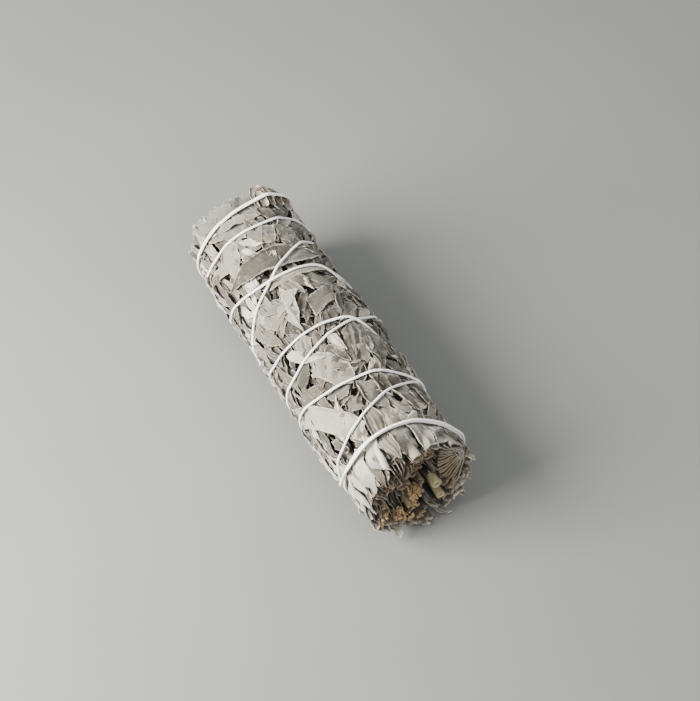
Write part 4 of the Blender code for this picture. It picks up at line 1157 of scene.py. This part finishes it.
def dress():
    """Every piece of the bundle."""
    leaf = leaf_material("dried_leaf_look", 0.5, False)
    leaf_end = leaf_material("leaf_end_look", 0.95, True)
    # Painted shade: the packed inside is coloured dark brown to stand for the shade in the deep gaps
    inner = plain_material("inner_leaf_shade_look", [(0.3, "2A211A"), (0.55, "4A3D30"), (0.8, "6F604D")],
                           300, 1400, 0.5, 0.0003)
    wood = plain_material("stem_look", [(0.25, "85755A"), (0.5, "ABA07E"), (0.8, "D0C4A4")],
                          420, 1900, 0.2, 0.0001, 0.8, (0.25, 1, 1))
    dry = plain_material("bud_look", [(0.25, "765838"), (0.5, "C09A62"), (0.75, "F4E2BA")],
                         700, 2400, 0.6, 0.0003, sheen=0.4)
    cotton = plain_material("cotton_look", [(0.2, "F2F1EE"), (0.6, "FAFAF8"), (0.9, "FEFEFD")],
                            900, 4200, 0.5, 0.0001, 0.85, sheen=0.5, paint_gap_shade=False)

    under, side_pile, near_pile, far_pile = Pile(), Pile(), Pile(), Pile()
    side = Side(CORE_RADIUS)
    rng = np.random.default_rng(5)
    for item in fill_plan(11, 340, (9, 17), (3.2, 6.2), 34, 1.15):
        side_leaf(under, side, item, rng, step=0.3, drop=1.3)
    for item in fill_plan(23, 330, (7, 15), (2.6, 5.4), 36):
        side_leaf(side_pile, side, item, rng, drop=0.45)
    for x, angle, length, width in RESTS:
        item = (x - 0.5 * length, angle, x + 0.5 * length, angle, width, 0.4, "flat", 0.6, 0.4)
        side_leaf(side_pile, side, item, rng, rest=True)
    for item in fill_plan(37, 120, (3.5, 8), (1.2, 2.4), 50):
        side_leaf(side_pile, side, item[:6] + ("curl",) + item[7:], rng, step=0.3, drop=0.2)
    for item in PLACED:
        side_leaf(side_pile, side, item, rng, step=0.4, fine=1.3)
    end_rng = np.random.default_rng(77)
    placed_ends(near_pile, far_pile, end_rng)
    near_end(near_pile, end_rng)
    far_end(far_pile, end_rng)
    for line, width, roll in LOOSE:
        loose_leaf(near_pile, line, width, roll, rng.uniform(0.7, 1), rng.uniform(0.4, 0.9))
    for line, width, roll in FAR_LOOSE:
        loose_leaf(far_pile, line, width, roll, rng.uniform(0.5, 0.9), rng.uniform(0.8, 1),
                   rng.uniform(0.1, 0.7))

    pieces = [under.build("leaves_under", leaf), side_pile.build("leaves_side", leaf),
              near_pile.build("leaves_near_end", leaf_end), far_pile.build("leaves_far_end", leaf_end)]
    core = inside_core(inner)
    bits = flower_bits(dry)
    thread, knot = binding([tree_of(obj) for obj in pieces], cotton)
    for obj in pieces + [core, bits]:
        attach(obj, "root")
        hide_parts("leaf_bunch")
    for obj in (thread, knot):
        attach(obj, "root")
        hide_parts("binding_thread")
    for i, (y, z, radius, x_end) in enumerate(STEMS):
        obj = stem("cut_stem_%d" % (i + 1), y, z, radius, x_end, i, wood)
        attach(obj, "root")
        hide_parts("stem_%d" % (i + 1))
    for i, item in enumerate(BUDS):
        obj = bud("flower_head_%d" % (i + 1), *item, i, dry)
        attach(obj, "root")
        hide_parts("bud_%d" % (i + 1))


def aim(obj, target):
    direction = Vector(target) - obj.location
    obj.rotation_euler = direction.to_track_quat("-Z", "Y").to_euler()


def camera():
    a, e = radians(VIEW_AZIMUTH), radians(VIEW_ELEVATION)
    data = bpy.data.cameras.new("camera")
    data.sensor_fit = "HORIZONTAL"
    data.sensor_width = 36
    data.lens = LENS
    data.clip_start = 0.05
    data.clip_end = 20
    data.shift_x = (0.5 * FRAME_W - CENTRE_X) / FRAME_W
    data.shift_y = (CENTRE_Y - 0.5 * FRAME_H) / FRAME_W
    obj = linked("camera", data)
    centre = Vector((SHIFT[0] * MM, SHIFT[1] * MM, AXIS_HEIGHT * MM))
    back = Vector((sin(a) * cos(e), -cos(a) * cos(e), sin(e)))
    obj.location = centre + back * VIEW_DISTANCE
    aim(obj, centre)
    bpy.context.scene.camera = obj


def area_light(name, aside, towards, height, size, energy, colour):
    """Round light placed from the camera's point of view: to its right, towards it and up."""
    a = radians(VIEW_AZIMUTH)
    data = bpy.data.lights.new(name, "AREA")
    data.shape = "DISK"
    data.size = size
    data.energy = energy
    data.color = colour
    obj = linked(name, data)
    obj.location = (Vector((cos(a), sin(a), 0)) * aside + Vector((sin(a), -cos(a), 0)) * towards
                    + Vector((0, 0, height)))
    aim(obj, (0, 0, 0.02))


def studio():
    """Pale floor, a large soft key from the camera's left and a weak fill."""
    corners = [(-FLOOR_HALF, -FLOOR_HALF, 0), (FLOOR_HALF, -FLOOR_HALF, 0),
               (FLOOR_HALF, FLOOR_HALF, 0), (-FLOOR_HALF, FLOOR_HALF, 0)]
    floor = mesh_object("floor", corners, [(0, 1, 2, 3)], floor_material(), False)
    area_light("key", -0.34, 0.12, 0.245, 0.32, KEY, (1, 0.985, 0.95))
    area_light("fill", 0.5, 0.7, 1.2, 1.2, FILL, (0.96, 0.98, 1))
    world = bpy.data.worlds.new("world")
    bpy.context.scene.world = world
    world.use_nodes = True
    back = world.node_tree.nodes["Background"]
    back.inputs["Color"].default_value = (0.95, 0.97, 0.97, 1)
    back.inputs["Strength"].default_value = AMBIENT


camera()
dress()
studio()
